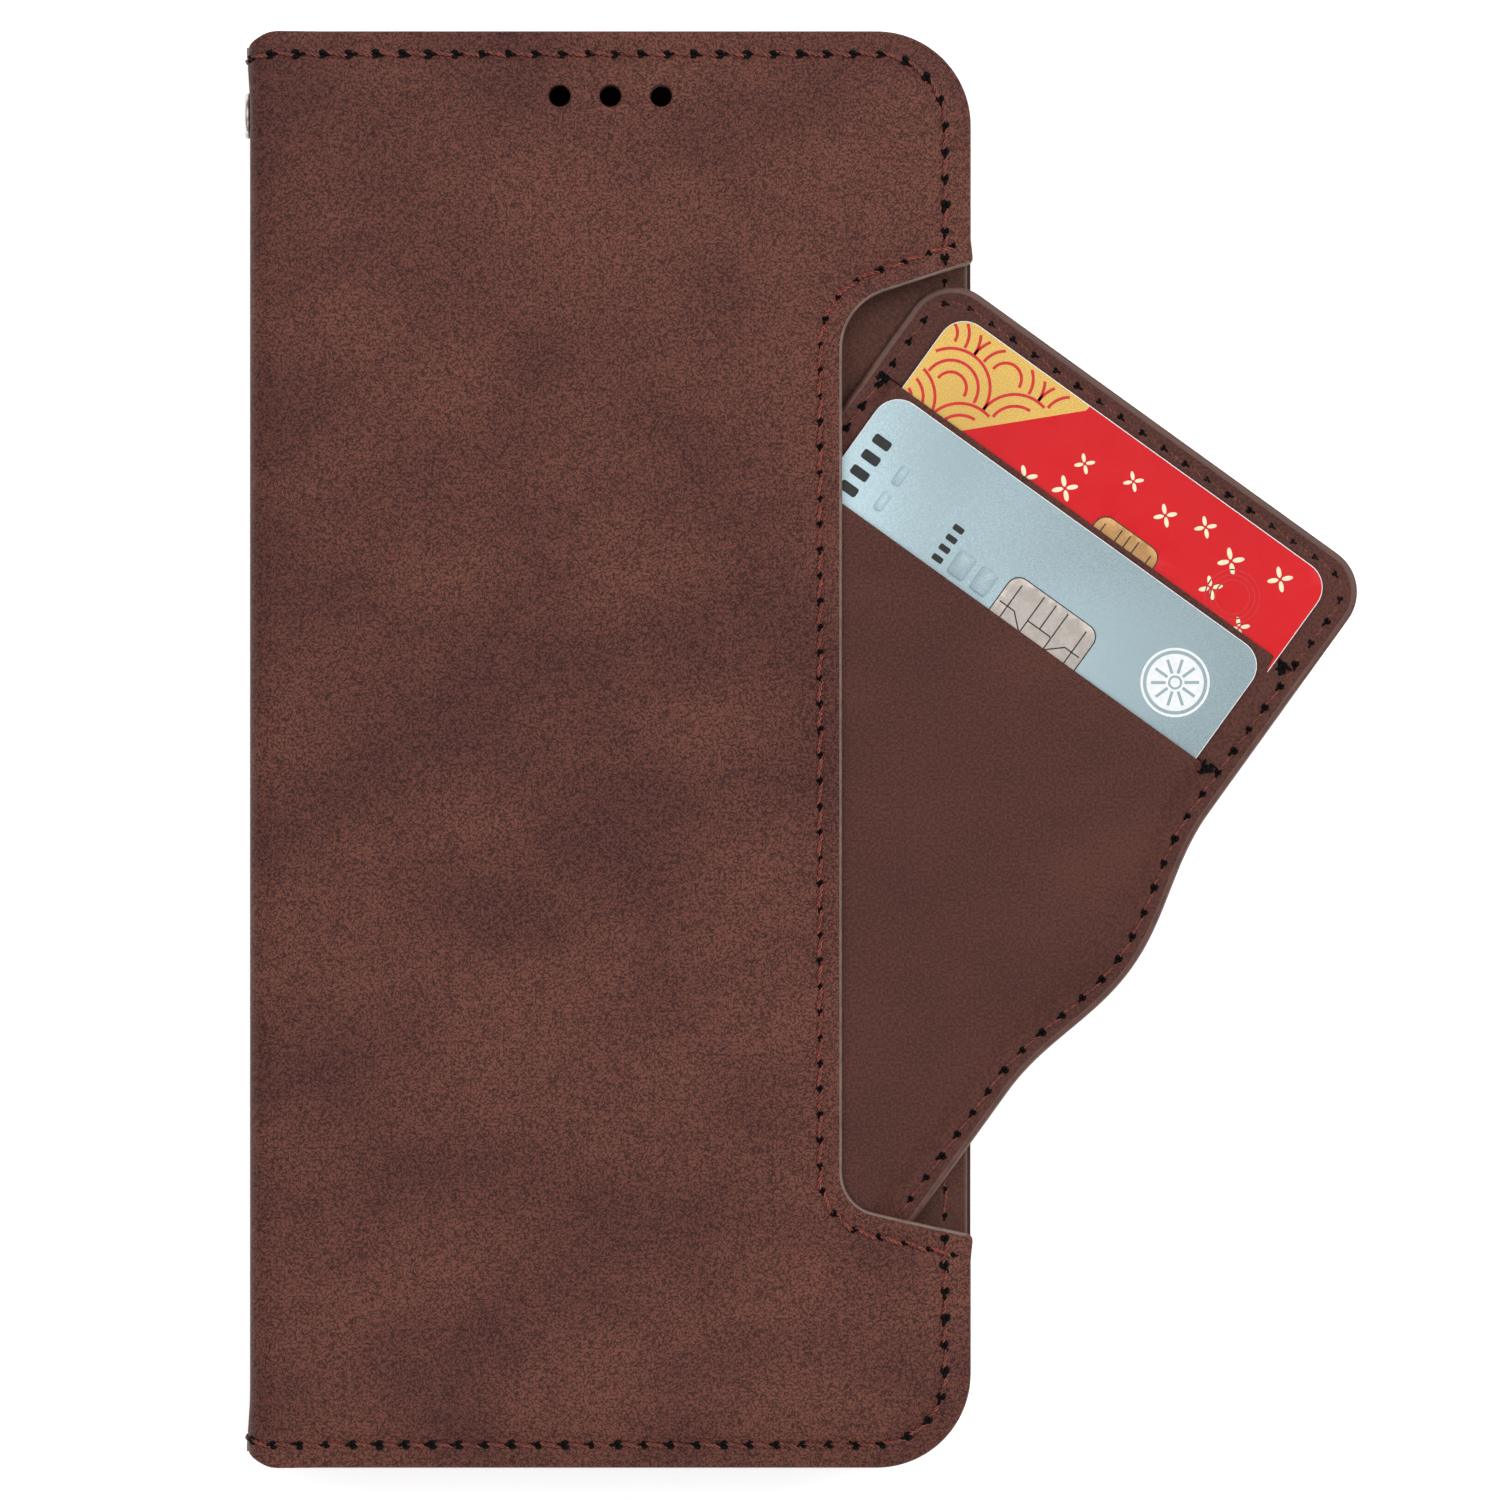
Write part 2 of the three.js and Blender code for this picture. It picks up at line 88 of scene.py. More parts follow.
REAR_CARD_Z = span("rear_card", "z")
FRONT_CARD_Z = span("front_card", "z")

# Leather and its edges.
SKIN = 0.8
HOLDER_SKIN = 0.33
LINING_SKIN = 0.4
CORNER_R = 11.0
RIM_DROP = 2.1  # how far the padded cover falls towards its sewn edge
PILLOW = 7.0  # over this width
FOLD_DROP = 0.35  # how far it falls at the fold
PAD_START = (-40.5, -33.0)  # the x between which the padding grows to its full height
FLARE = 0.45
FOLD_R = 2.6
SPLIT_Z = 14.0  # where the front sheet of leather meets the back one, on the spine
END_DRAW_IN = HALF_Y - SPINE_HALF_Y + 0.5
END_CORNER = 3.5  # how far in from the spine the drawn-in ends begin
END_POWER = 24  # the higher, the nearer to the ends they are drawn in
EARPIECE = {"y": 76.1, "pitch": 5.9, "r": 1.25}
MOUTH = [(FREE_X + 0.3, -56.6, 0.8), (27.0, -53.1, 4.75), (27.0, 51.7, 7.0), (FREE_X + 0.3, 56.7, 0.8)]
POCKET = {"left": -36.0, "right": 38.5, "bottom": -71.0, "top": 62.5}
CAMERA_WINDOW = (6.0, 36.0, 34.0, 76.0, 4.0)  # left, bottom, right, top and corner radius
EYELET_HOLE_R = 1.9

# Seams.
PITCH = 3.1
RIM_SEAM = 2.7
MOUTH_SEAM = 2.6
HOLDER_SEAM = 1.9
PANEL_SEAM = 1.8
CHANNEL_WIDTH = 0.55  # how wide a seam's thread and holes press into the leather
HOLE_WIDTH = 0.7

# Card holder, in its own frame: the origin is its pivot and +Y runs up along it.
PIVOT = (5.2, -48.0)
SWING = math.radians(35.8)
HOLDER = {"left": -33.8, "right": 28.6, "bottom": -4.5, "top": 104.0, "top_r": 5.5, "bottom_r": 8.0}
BULGE = {"y": 50.7, "half": 20.0, "height": 3.3}
SLITS = [90.0, 75.0]  # the rear card's and the front card's
SLIT_ENDS = (-31.5, 25.6)
RIVET_HOLE_R = 1.8
CARD = {"width": 53.98, "height": 85.6, "r": 3.18}
REAR_CARD_CORNER = (-29.4, 101.1)
FRONT_CARD_CORNER = (-30.3, 89.2)
REAR_CHIP = (-1.9, 79.5, 6.6, 91.9)  # left, bottom, right and top
FRONT_CHIP = (-6.0, 69.3, 6.1, 80.2)
PRINT_RISE = 0.012  # how far each layer of print stands above the one below


# ---- small maths

def smooth(x, low, high):
    """0 before low, 1 after high, and a smooth step between them."""
    t = np.clip((x - low) / (high - low), 0.0, 1.0)
    return t * t * (3 - 2 * t)


def unit(v):
    return v / np.linalg.norm(v)


def subdivided(points, spacing, closed):
    """The same line with every stretch cut into steps of at most this spacing."""
    ends = np.roll(points, -1, axis=0) if closed else points[1:]
    pieces = []
    for a, b in zip(points, ends):
        steps = max(1, math.ceil(np.linalg.norm(b - a) / spacing))
        pieces.append(a + (b - a) * np.arange(steps)[:, None] / steps)
    if not closed:
        pieces.append(points[-1:])
    return np.concatenate(pieces)


def rounded(corners, spacing, closed=True):
    """A line through (x, y, radius) corners. A closed one is listed anticlockwise."""
    spots = [np.array(c[:2], float) for c in corners]
    radii = [c[2] if len(c) > 2 else 0.0 for c in corners]
    found = []
    for i, (here, r) in enumerate(zip(spots, radii)):
        at_end = not closed and i in (0, len(spots) - 1)
        if r == 0 or at_end:
            found.append(here[None])
            continue
        back = unit(spots[i - 1] - here)
        ahead = unit(spots[(i + 1) % len(spots)] - here)
        half = math.acos(np.clip(back @ ahead, -1, 1)) / 2
        centre = here + unit(back + ahead) * r / math.sin(half)
        start = here + back * r / math.tan(half) - centre
        end = here + ahead * r / math.tan(half) - centre
        first = math.atan2(start[1], start[0])
        turn = (math.atan2(end[1], end[0]) - first + math.pi) % (2 * math.pi) - math.pi
        steps = max(3, math.ceil(abs(turn) * r / min(spacing, 0.6)))
        angles = first + turn * np.linspace(0, 1, steps + 1)
        found.append(centre + r * np.stack([np.cos(angles), np.sin(angles)], 1))
    return subdivided(np.concatenate(found), spacing, closed)


def rectangle(left, bottom, right, top, r, spacing=1.0):
    corners = [(left, bottom, r), (right, bottom, r), (right, top, r), (left, top, r)]
    return rounded(corners, spacing)


def arc(x, y, r, angles):
    return np.stack([x + r * np.cos(angles), y + r * np.sin(angles)], 1)


def circle(x, y, r, steps=32):
    return arc(x, y, r, np.linspace(0, 2 * math.pi, steps, endpoint=False))


def rotated(points, a):
    c, s = math.cos(a), math.sin(a)
    return np.stack([points[:, 0] * c - points[:, 1] * s, points[:, 0] * s + points[:, 1] * c], 1)


def shifted(line, distance, closed=True):
    """The line moved sideways to its left, which is into the material of an anticlockwise outline."""
    ahead = np.roll(line, -1, axis=0) - line
    back = line - np.roll(line, 1, axis=0)
    if not closed:
        ahead[-1] = back[-1]
        back[0] = ahead[0]
    ahead /= np.linalg.norm(ahead, axis=1)[:, None]
    back /= np.linalg.norm(back, axis=1)[:, None]
    along = ahead + back
    along /= np.linalg.norm(along, axis=1)[:, None]
    left = np.stack([-along[:, 1], along[:, 0]], 1)
    mitre = 1 / np.clip((along * ahead).sum(1), 0.5, 1)
    return line + left * (distance * mitre)[:, None]


def inside(points, loops):
    """Which points lie inside an odd number of the loops."""
    x, y = points[:, 0], points[:, 1]
    odd = np.zeros(len(points), bool)
    for ring in loops:
        for (ax, ay), (bx, by) in zip(ring, np.roll(ring, -1, axis=0)):
            if ay == by:
                continue
            crosses = ((ay > y) != (by > y)) & (x < ax + (y - ay) * (bx - ax) / (by - ay))
            odd ^= crosses
    return odd


def nearest(points, others):
    """Each point's distance to the closest of the others."""
    found = np.empty(len(points))
    for i in range(0, len(points), 2000):
        part = points[i:i + 2000, None] - others[None]
        found[i:i + 2000] = np.sqrt((part ** 2).sum(2).min(1))
    return found


# ---- meshes

def mesh_object(name, vertices, faces, materials, face_material=None):
    """An object from vertices in millimetres. It remembers its rest place for the materials."""
    mesh = bpy.data.meshes.new(name)
    mesh.from_pydata((np.asarray(vertices) / PER_METRE).tolist(), [], faces)
    for material in materials:
        mesh.materials.append(material)
    if face_material is not None:
        mesh.polygons.foreach_set("material_index", np.asarray(face_material, np.int32))
    rest = mesh.attributes.new("rest", "FLOAT_VECTOR", "POINT")
    rest.data.foreach_set("vector", np.asarray(vertices, np.float32).ravel())
    mesh.shade_smooth()
    mesh.update()
    made = bpy.data.objects.new(name, mesh)
    bpy.context.scene.collection.objects.link(made)
    return made


def to_metres(*point):
    return tuple(c / PER_METRE for c in point)


def attach(made, follow, slot, *nodes):
    """Parents a piece to one body; a piece given a fold between two bodies only has its place baked into
    its mesh. Hides the CAD nodes it stands for.
    """
    if isinstance(follow, str):
        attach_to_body(made, follow)
    else:
        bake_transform(made)
    if nodes:
        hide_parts(*nodes)


def face_outwards(made):
    """Turns the faces of a closed mesh so that they point out."""
    work = bmesh.new()
    work.from_mesh(made.data)
    if work.calc_volume(signed=True) < 0:
        bmesh.ops.reverse_faces(work, faces=work.faces)
    work.to_mesh(made.data)
    work.free()
    return made


def flat_triangles(loops, lines, spacing):
    """Triangles that fill the region between loops, with points on the lines and on a grid.

    Gives points, triangles and, for each loop, its points' places in the list.
    """
    points, edges, starts = [], [], []
    for ring in loops:
        starts.append(len(points))
        n = len(ring)
        edges += [(len(points) + i, len(points) + (i + 1) % n) for i in range(n)]
        points += ring.tolist()
    rim = np.concatenate(loops)
    for line in lines:
        held = inside(line, loops) & (nearest(line, rim) > 0.12)
        first = len(points)
        edges += [(first + i, first + i + 1) for i in range(len(line) - 1) if held[i] and held[i + 1]]
        points += np.where(held[:, None], line, rim[:1]).tolist()
    fixed = np.array(points)
    low, high = rim.min(0), rim.max(0)
    across = np.arange(low[0] + spacing / 2, high[0], spacing)
    along = np.arange(low[1] + spacing / 2, high[1], spacing)
    grid = np.stack(np.meshgrid(across, along), -1).reshape(-1, 2)
    grid = grid[inside(grid, loops)]
    grid = grid[nearest(grid, fixed) > 0.55 * spacing]
    everything = [Vector(p) for p in np.concatenate([fixed, grid])]
    spots, _, faces, origin, _, _ = delaunay_2d_cdt(everything, edges, [], 0, 1e-6)
    spots = np.array([p[:] for p in spots])
    faces = np.array([f for f in faces if len(f) == 3])
    faces = faces[inside(spots[faces].mean(1), loops)]
    a, b, c = (spots[faces[:, k]] for k in range(3))
    area = (b[:, 0] - a[:, 0]) * (c[:, 1] - a[:, 1]) - (b[:, 1] - a[:, 1]) * (c[:, 0] - a[:, 0])
    faces[area < 0] = faces[area < 0][:, ::-1]
    place = {source: i for i, sources in enumerate(origin) for source in sources}
    rings = [[place[s + i] for i in range(len(ring))] for s, ring in zip(starts, loops)]
    return spots, faces, rings


def sheet(name, outline, place, top, bottom, materials, *, spacing, round_top, round_bottom, holes=(),
          lines=(), round_holes=None, round_share=None, edge_slot=None, top_slot=None):
    """A closed sheet of leather, board or plastic with rounded edges.

    place(points, height) puts flat points in space; top and bottom give each flat point's heights.
    edge_slot(points) picks the material of the rounded edge, and top_slot(points) of the top.
    lines are kept as edges of the mesh, whose other points lie on a grid of this spacing.
    round_share(points) says how much of the rounding the outline's points get.
    """
    true_loops = [outline, *holes]
    rounds = [round_top * (round_share(outline) if round_share else 1.0)]
    rounds += [round_holes or round_top] * len(holes)
    inner_loops = [shifted(ring, r) for ring, r in zip(true_loops, rounds)]
    flat, faces, rings = flat_triangles(inner_loops, lines, spacing)
    used = np.unique(faces)
    flat = flat[used]
    renumber = np.full(used.max() + 1, -1)
    renumber[used] = np.arange(len(used))
    faces = renumber[faces]
    n = len(flat)
    vertices = [place(flat, top(flat)), place(flat, bottom(flat))]
    polygons = faces.tolist() + (faces[:, ::-1] + n).tolist()
    slots = np.zeros(len(faces), int) if top_slot is None else top_slot(flat[faces].mean(1))
    slots = slots.tolist() + [0] * len(faces)
    count = 2 * n
    quarter = np.linspace(0, math.pi / 2, 5)
    for ring, ids, r in zip(true_loops, rings, rounds):
        previous = renumber[ids]
        levels = [(r * (1 - math.sin(a)), r * (1 - math.cos(a)), True) for a in quarter[1:]]
        levels += [(round_bottom * (1 - math.sin(a)), round_bottom * (1 - math.cos(a)), False)
                   for a in quarter[::-1]]
        if np.all(r == round_bottom):
            levels = levels[:-1]
        edge = np.zeros(len(ring), int) if edge_slot is None else edge_slot(ring)
        for inset, drop, is_top in levels:
            line = shifted(ring, inset)
            room = np.minimum(1.0, 0.75 * (top(line) - bottom(line)) / np.maximum(r, 1e-6))
            height = top(line) - drop * room if is_top else bottom(line) + drop
            vertices.append(place(line, height))
            here = count + np.arange(len(ring))
            count += len(ring)
            polygons += np.stack([previous, here, np.roll(here, -1), np.roll(previous, -1)], 1).tolist()
            slots += edge.tolist()
            previous = here
        last = renumber[ids] + n
        polygons += np.stack([previous, last, np.roll(last, -1), np.roll(previous, -1)], 1).tolist()
        slots += edge.tolist()
    made = mesh_object(name, np.concatenate(vertices), polygons, materials, slots)
    face_outwards(made)
    weighted = made.modifiers.new("even_normals", "WEIGHTED_NORMAL")
    weighted.keep_sharp = True
    return made


def second_material(points):
    """Picks the second material all along an edge."""
    return np.ones(len(points), int)


def level(height):
    """A height function that is the same everywhere."""
    return lambda points: np.full(len(points), float(height))


def upright(points, height):
    """Flat points stay where they are, at their height."""
    return np.column_stack([points, height])


def on_holder(points, height):
    """Points of the holder's own frame, put where the holder is when it is swung out."""
    return np.column_stack([rotated(points, -SWING) + PIVOT, height])


class Bent:
    """Puts a flat sheet on a profile in the XZ plane, which runs from the free edge to the spine.

    A flat point's x is its distance along the profile, counted so that it equals x on the cover.
    Heights are measured outwards from the profile. The ends of the sheet are drawn in on the spine,
    by the share that draw(flat x, x seen from above) gives.
    """

    def __init__(self, corners, side, draw):
        line = rounded(corners, 0.2, closed=False)
        steps = np.linalg.norm(np.diff(line, axis=0), axis=1)
        self.flat_x = line[0, 0] - np.concatenate([[0], np.cumsum(steps)])
        self.line = line
        along = np.gradient(line, axis=0)
        along /= np.linalg.norm(along, axis=1)[:, None]
        self.normal = side * np.stack([along[:, 1], -along[:, 0]], 1)
        self.draw = draw

    def __call__(self, points, height):
        x, y = points[:, 0], points[:, 1]
        at = [np.interp(-x, -self.flat_x, column) for column in (*self.line.T, *self.normal.T)]
        short = END_DRAW_IN * self.draw(x, at[0]) * (np.abs(y) / HALF_Y) ** END_POWER
        return np.column_stack([at[0] + at[2] * height, y - np.sign(y) * short, at[1] + at[3] * height])


def round_end(flat_x, seen_x):
    """A quarter ellipse, seen from above."""
    t = np.clip((SPINE_X + END_CORNER - seen_x) / END_CORNER, 0, 1)
    return 1 - np.sqrt(1 - t ** 2)


# ---- seams

class Seam:
    """Where a line of stitches runs, and how it presses into the leather."""

    def __init__(self, line, pitch=PITCH, closed=False, depth=0.22):
        self.line = np.concatenate([line, line[:1]]) if closed else line
        steps = np.linalg.norm(np.diff(self.line, axis=0), axis=1)
        self.at = np.concatenate([[0], np.cumsum(steps)])
        self.length = self.at[-1]
        self.closed = closed
        self.depth = depth
        self.count = max(2, round(self.length / pitch))
        self.pitch = self.length / self.count
        self.holes = self.point((np.arange(self.count) + 0.5) * self.pitch)
        self.track = self.point(np.arange(0, self.length, 0.4))

    def point(self, s):
        """The points at these distances along the seam."""
        s = s % self.length if self.closed else s
        return np.stack([np.interp(s, self.at, column) for column in self.line.T], -1)

    def across(self, s):
        """The directions across the seam there."""
        s = s if self.closed else np.clip(s, 0.2, self.length - 0.2)
        along = self.point(s + 0.2) - self.point(s - 0.2)
        along /= np.linalg.norm(along, axis=-1, keepdims=True)
        return np.stack([-along[..., 1], along[..., 0]], -1)

    def lines(self):
        """The lines that give a sheet's mesh enough points to hold the seam."""
        dense = self.point(np.linspace(0, self.length, int(self.length / 0.5)))
        return [shifted(dense, offset, closed=False) for offset in (-0.75, -0.35, 0.0, 0.35, 0.75)]

    def pressed(self, points):
        """How far the stitches pull each point of the leather down."""
        depth = np.zeros(len(points))
        low, high = self.track.min(0) - 2, self.track.max(0) + 2
        near = np.all((points > low) & (points < high), axis=1)
        if near.any():
            channel = np.exp(-(nearest(points[near], self.track) / CHANNEL_WIDTH) ** 2)
            holes = np.exp(-(nearest(points[near], self.holes) / HOLE_WIDTH) ** 2)
            depth[near] = self.depth * (0.6 * channel + 0.8 * holes)
        return depth


def ball(rings=5, sides=8):
    """Vertices and faces of a rough unit ball, for a knot of thread."""
    vertices = [(0, 0, 1)]
    for i in range(1, rings):
        a = math.pi * i / rings
        for j in range(sides):
            b = 2 * math.pi * j / sides
            vertices.append((math.sin(a) * math.cos(b), math.sin(a) * math.sin(b), math.cos(a)))
    vertices.append((0, 0, -1))
    last = len(vertices) - 1
    faces = [(0, 1 + j, 1 + (j + 1) % sides) for j in range(sides)]
    for i in range(rings - 2):
        a, b = 1 + i * sides, 1 + (i + 1) * sides
        faces += [(a + j, b + j, b + (j + 1) % sides, a + (j + 1) % sides) for j in range(sides)]
    tail = 1 + (rings - 2) * sides
    faces += [(tail + j, last, tail + (j + 1) % sides) for j in range(sides)]
    return np.array(vertices), faces


def knot_shape():
    """Vertices and faces of a knot of thread: two lobes side by side and a pointed tail."""
    points, faces = ball()
    lobes = [((0.34, 0.42), (0.62, 0.55)), ((0.34, -0.42), (0.62, 0.55)), ((-0.42, 0.0), (0.75, 0.42))]
    return joined([(points * (*size, 1.0) + (*centre, 0.0), faces) for centre, size in lobes])


def stitches(name, seam, place, surface, follow, *, thread=None, seed=1, thread_r=0.19, lift=0.2,
             knot_size=(0.72, 0.56, 0.33), keep=None):
    """Two-ply thread from hole to hole, with a dark knot in each hole.

    keep(points) picks the holes that are sewn. knot_size is along, across and above the seam.
    """
    chance = np.random.default_rng(seed)
    centres = (np.arange(seam.count) + 0.5) * seam.pitch
    if keep is not None:
        centres = centres[keep(seam.point(centres))]
    knot_points, knot_faces = knot_shape()
    turn = chance.normal(0, 0.2, len(centres))[:, None]
    size = chance.uniform(0.85, 1.15, len(centres))[:, None]
    u, v, w = knot_points.T
    along = size * (knot_size[0] * u * np.cos(turn) - knot_size[1] * v * np.sin(turn))
    across = size * (knot_size[1] * v * np.cos(turn) + knot_size[0] * u * np.sin(turn))
    s = centres[:, None] + along
    flat = seam.point(s) + seam.across(s) * across[..., None]
    heights = size * knot_size[2] * np.maximum(w, -0.4) + 0.05
    flat = flat.reshape(-1, 2)
    vertices = [place(flat, surface(flat) + heights.ravel())]
    faces = [tuple(i * len(knot_points) + k for k in f) for i in range(len(centres)) for f in knot_faces]
    slots = [1] * len(faces)
    count = len(vertices[0])

    steps, sides, plies, turns = 13, 5, 2, 2.25
    ply_r, ply_gap = 0.62 * thread_r, 0.72 * thread_r
    starts = centres if seam.closed else centres[:-1]
    gaps = np.full(len(centres), seam.pitch) if seam.closed else np.diff(centres)
    starts, gaps = starts[gaps < 1.5 * seam.pitch], gaps[gaps < 1.5 * seam.pitch]
    q = np.linspace(0, 1, steps)
    ring = 2 * math.pi * np.arange(sides) / sides
    ply = math.pi * np.arange(plies)
    phase = chance.uniform(0, 2 * math.pi, len(starts))
    twist = phase[:, None, None] + ply[None, :, None] + q[None, None, :] * 2 * math.pi * turns
    lean = twist[..., None] + 0 * ring
    centre_a, centre_h = ply_gap * np.cos(lean), ply_gap * np.sin(lean)
    tube_a, tube_h = ply_r * np.cos(ring), ply_r * np.sin(ring)
    arch = lift * np.sin(math.pi * q) ** 0.7 - 0.05 * (1 - np.sin(math.pi * q)) ** 4
    slant = thread_r * np.cos(math.pi * q)
    s = starts[:, None, None, None] + gaps[:, None, None, None] * q[None, None, :, None] + 0 * lean
    sideways = centre_a + tube_a + slant[None, None, :, None]
    flat = (seam.point(s) + seam.across(s) * sideways[..., None]).reshape(-1, 2)
    heights = (centre_h + tube_h + arch[None, None, :, None]).ravel()
    vertices.append(place(flat, surface(flat) + heights))
    for k in range(len(starts) * plies):
        base = count + k * steps * sides
        for i in range(steps - 1):
            a, b = base + i * sides, base + (i + 1) * sides
            faces += [(a + j, a + (j + 1) % sides, b + (j + 1) % sides, b + j) for j in range(sides)]
        faces.append(tuple(base + j for j in reversed(range(sides))))
        faces.append(tuple(base + (steps - 1) * sides + j for j in range(sides)))
    slots += [0] * (len(faces) - len(slots))
    made = mesh_object(name, np.concatenate(vertices), faces, [thread or RIM_THREAD, BLACK_THREAD], slots)
    work = bmesh.new()
    work.from_mesh(made.data)
    bmesh.ops.recalc_face_normals(work, faces=work.faces)
    work.to_mesh(made.data)
    work.free()
    attach(made, follow, "black_thread")


# ---- materials

def srgb(r, g, b):
    """A colour read off a screen, as the shader wants it."""
    linear = lambda c: c / 255 / 12.92 if c < 11 else ((c / 255 + 0.055) / 1.055) ** 2.4
    return tuple(linear(c) for c in (r, g, b)) + (1,)


class Nodes:
    """A material's node tree, built a node at a time."""

    def __init__(self, name, coordinates="rest"):
        self.material = bpy.data.materials.new(name)
        self.material.use_nodes = True
        self.tree = self.material.node_tree
        if coordinates == "rest":
            self.place = self.add("ShaderNodeAttribute", attribute_name="rest").outputs["Vector"]
        else:
            source = self.add("ShaderNodeTexCoord").outputs["Object"]
            sizes = {0: source, "Scale": PER_METRE}
            self.place = self.add("ShaderNodeVectorMath", sizes, operation="SCALE").outputs[0]

    def add(self, kind, inputs=None, **settings):
        """A node with these settings, and a value or another node's output for each input."""
        node = self.tree.nodes.new(kind)
        for key, value in settings.items():
            setattr(node, key, value)
        self.fill(node, inputs or {})
        return node

    def fill(self, node, inputs):
        for key, value in inputs.items():
            if isinstance(value, bpy.types.NodeSocket):
                self.tree.links.new(value, node.inputs[key])
            else:
                node.inputs[key].default_value = value

    def noise(self, size, detail, rough, stretch=(1, 1, 1), turn=0.0, distortion=0.0):
        """Noise whose features are about this many millimetres across."""
        placed = {"Vector": self.place, "Scale": [s / size for s in stretch], "Rotation": (0, 0, turn)}
        mapped = self.add("ShaderNodeMapping", placed).outputs[0]
        inputs = {"Vector": mapped, "Scale": 1.0, "Detail": detail, "Roughness": rough,
                  "Distortion": distortion}
        return self.add("ShaderNodeTexNoise", inputs).outputs["Fac"]

    def maths(self, operation, a, b=0.0):
        return self.add("ShaderNodeMath", {0: a, 1: b}, operation=operation).outputs[0]

    def ramp(self, value, low, high, to_low=0.0, to_high=1.0):
        """A smooth step of the value from low to high."""
        inputs = {"Value": value, "From Min": low, "From Max": high, "To Min": to_low, "To Max": to_high}
        return self.add("ShaderNodeMapRange", inputs, interpolation_type="SMOOTHSTEP").outputs[0]

    def both(self, a, b, share):
        """This share of a and the rest of b."""
        return self.maths("ADD", self.maths("MULTIPLY", a, share), self.maths("MULTIPLY", b, 1 - share))

    def mottle(self, pattern, low, high, base, dark, light=1.0):
        """The base colour, from dark to light times as bright where the pattern goes from low to high."""
        return self.mix(self.ramp(pattern, low, high), shade(base, dark), shade(base, light))

    def mix(self, share, a, b, blend="MIX"):
        inputs = {"Factor": share, "A": a, "B": b}
        return self.add("ShaderNodeMix", inputs, data_type="RGBA", blend_type=blend).outputs["Result"]

    def bump(self, height, distance, strength, before=None):
        """Relief of this many millimetres, on top of the relief before."""
        inputs = {"Height": height, "Distance": distance / PER_METRE, "Strength": strength}
        if before is not None:
            inputs["Normal"] = before
        return self.add("ShaderNodeBump", inputs).outputs[0]

    def finish(self, colour, roughness, normal=None, **others):
        inputs = {"Base Color": colour, "Roughness": roughness}
        if normal is not None:
            inputs["Normal"] = normal
        inputs.update({key.replace("_", " "): value for key, value in others.items()})
        self.fill(self.tree.nodes["Principled BSDF"], inputs)
        return self.material


def shade(colour, factor):
    """A colour made darker or lighter."""
    return tuple(min(1.0, factor * c) for c in colour[:3]) + (1,)


def printed_leather(name, light, dark):
    """Matt waxy leather: fine dark worm-like marks over soft cloudy patches of light and dark brown."""
    n = Nodes(name)
    fine = n.noise(0.43, 1.0, 0.5, distortion=0.4)
    marks = n.ramp(n.maths("ABSOLUTE", n.maths("SUBTRACT", fine, 0.5)), 0.0, 0.11)
    broad = n.noise(17, 2.0, 0.5, stretch=(0.85, 1.15, 1), turn=-0.4)
    wide = n.noise(50, 1.0, 0.5, turn=0.3)
    base = n.mix(n.ramp(n.both(broad, wide, 0.65), 0.36, 0.64), dark, light)
    colour = n.mix(marks, n.mix(1.0, base, (0.26, 0.23, 0.25, 1), "MULTIPLY"), base)
    creases = n.noise(5.5, 3.0, 0.6)
    normal = n.bump(creases, 0.10, 0.5, n.bump(marks, 0.03, 0.8))
    return n.finish(colour, n.ramp(fine, 0.3, 0.7, 0.64, 0.56), normal, Specular_IOR_Level=0.2)


def plain_leather(name, base, spread):
    """Smooth, slightly mottled leather."""
    n = Nodes(name)
    fine = n.noise(0.30, 2.0, 0.55)
    broad = n.noise(14, 3.0, 0.6, stretch=(0.8, 1.2, 1), turn=0.5)
    colour = n.mottle(n.both(fine, broad, 0.75), 0.38, 0.62, base, 1 - spread, 1 + spread)
    normal = n.bump(broad, 0.12, 0.5, n.bump(fine, 0.03, 0.8))
    return n.finish(colour, n.ramp(fine, 0.3, 0.7, 0.66, 0.57), normal, Specular_IOR_Level=0.2)


def cut_edge(name, base):
    """The painted or cut edge of the leather, a little glossier and worn."""
    n = Nodes(name)
    wear = n.noise(1.6, 3.0, 0.6)
    fine = n.noise(0.2, 2.0, 0.6)
    colour = n.mottle(wear, 0.35, 0.65, base, 0.72)
    return n.finish(colour, n.ramp(wear, 0.3, 0.7, 0.42, 0.56), n.bump(fine, 0.03, 0.7))


def microfibre(name, base, coordinates="rest"):
    """Soft napped lining."""
    n = Nodes(name, coordinates)
    nap = n.noise(0.22, 3.0, 0.7)
    brushed = n.noise(9, 3.0, 0.6, stretch=(0.5, 1.6, 1))
    colour = n.mottle(n.both(nap, brushed, 0.55), 0.36, 0.64, base, 0.72, 1.25)
    return n.finish(colour, 0.92, n.bump(nap, 0.06, 0.8), Sheen_Weight=0.35, Sheen_Roughness=0.45,
                    Specular_IOR_Level=0.2)


def thread_material(name, base, gloss=0.5, shine=0.4):
    """Spun thread with fine fibres across it, and painted shade and highlights for the twist of its plies.
    """
    n = Nodes(name)
    fibre = n.noise(0.07, 2.0, 0.6)
    # painted shade and highlight: this half-millimetre noise darkens and lightens the thread as the twist
    # of its plies would
    painted_ply_shading = n.noise(0.45, 1.0, 0.5)
    colour = n.mottle(n.both(fibre, painted_ply_shading, 0.5), 0.36, 0.64, base, 0.4, 1.5)
    return n.finish(colour, gloss, n.bump(fibre, 0.03, 0.8), Specular_IOR_Level=shine)


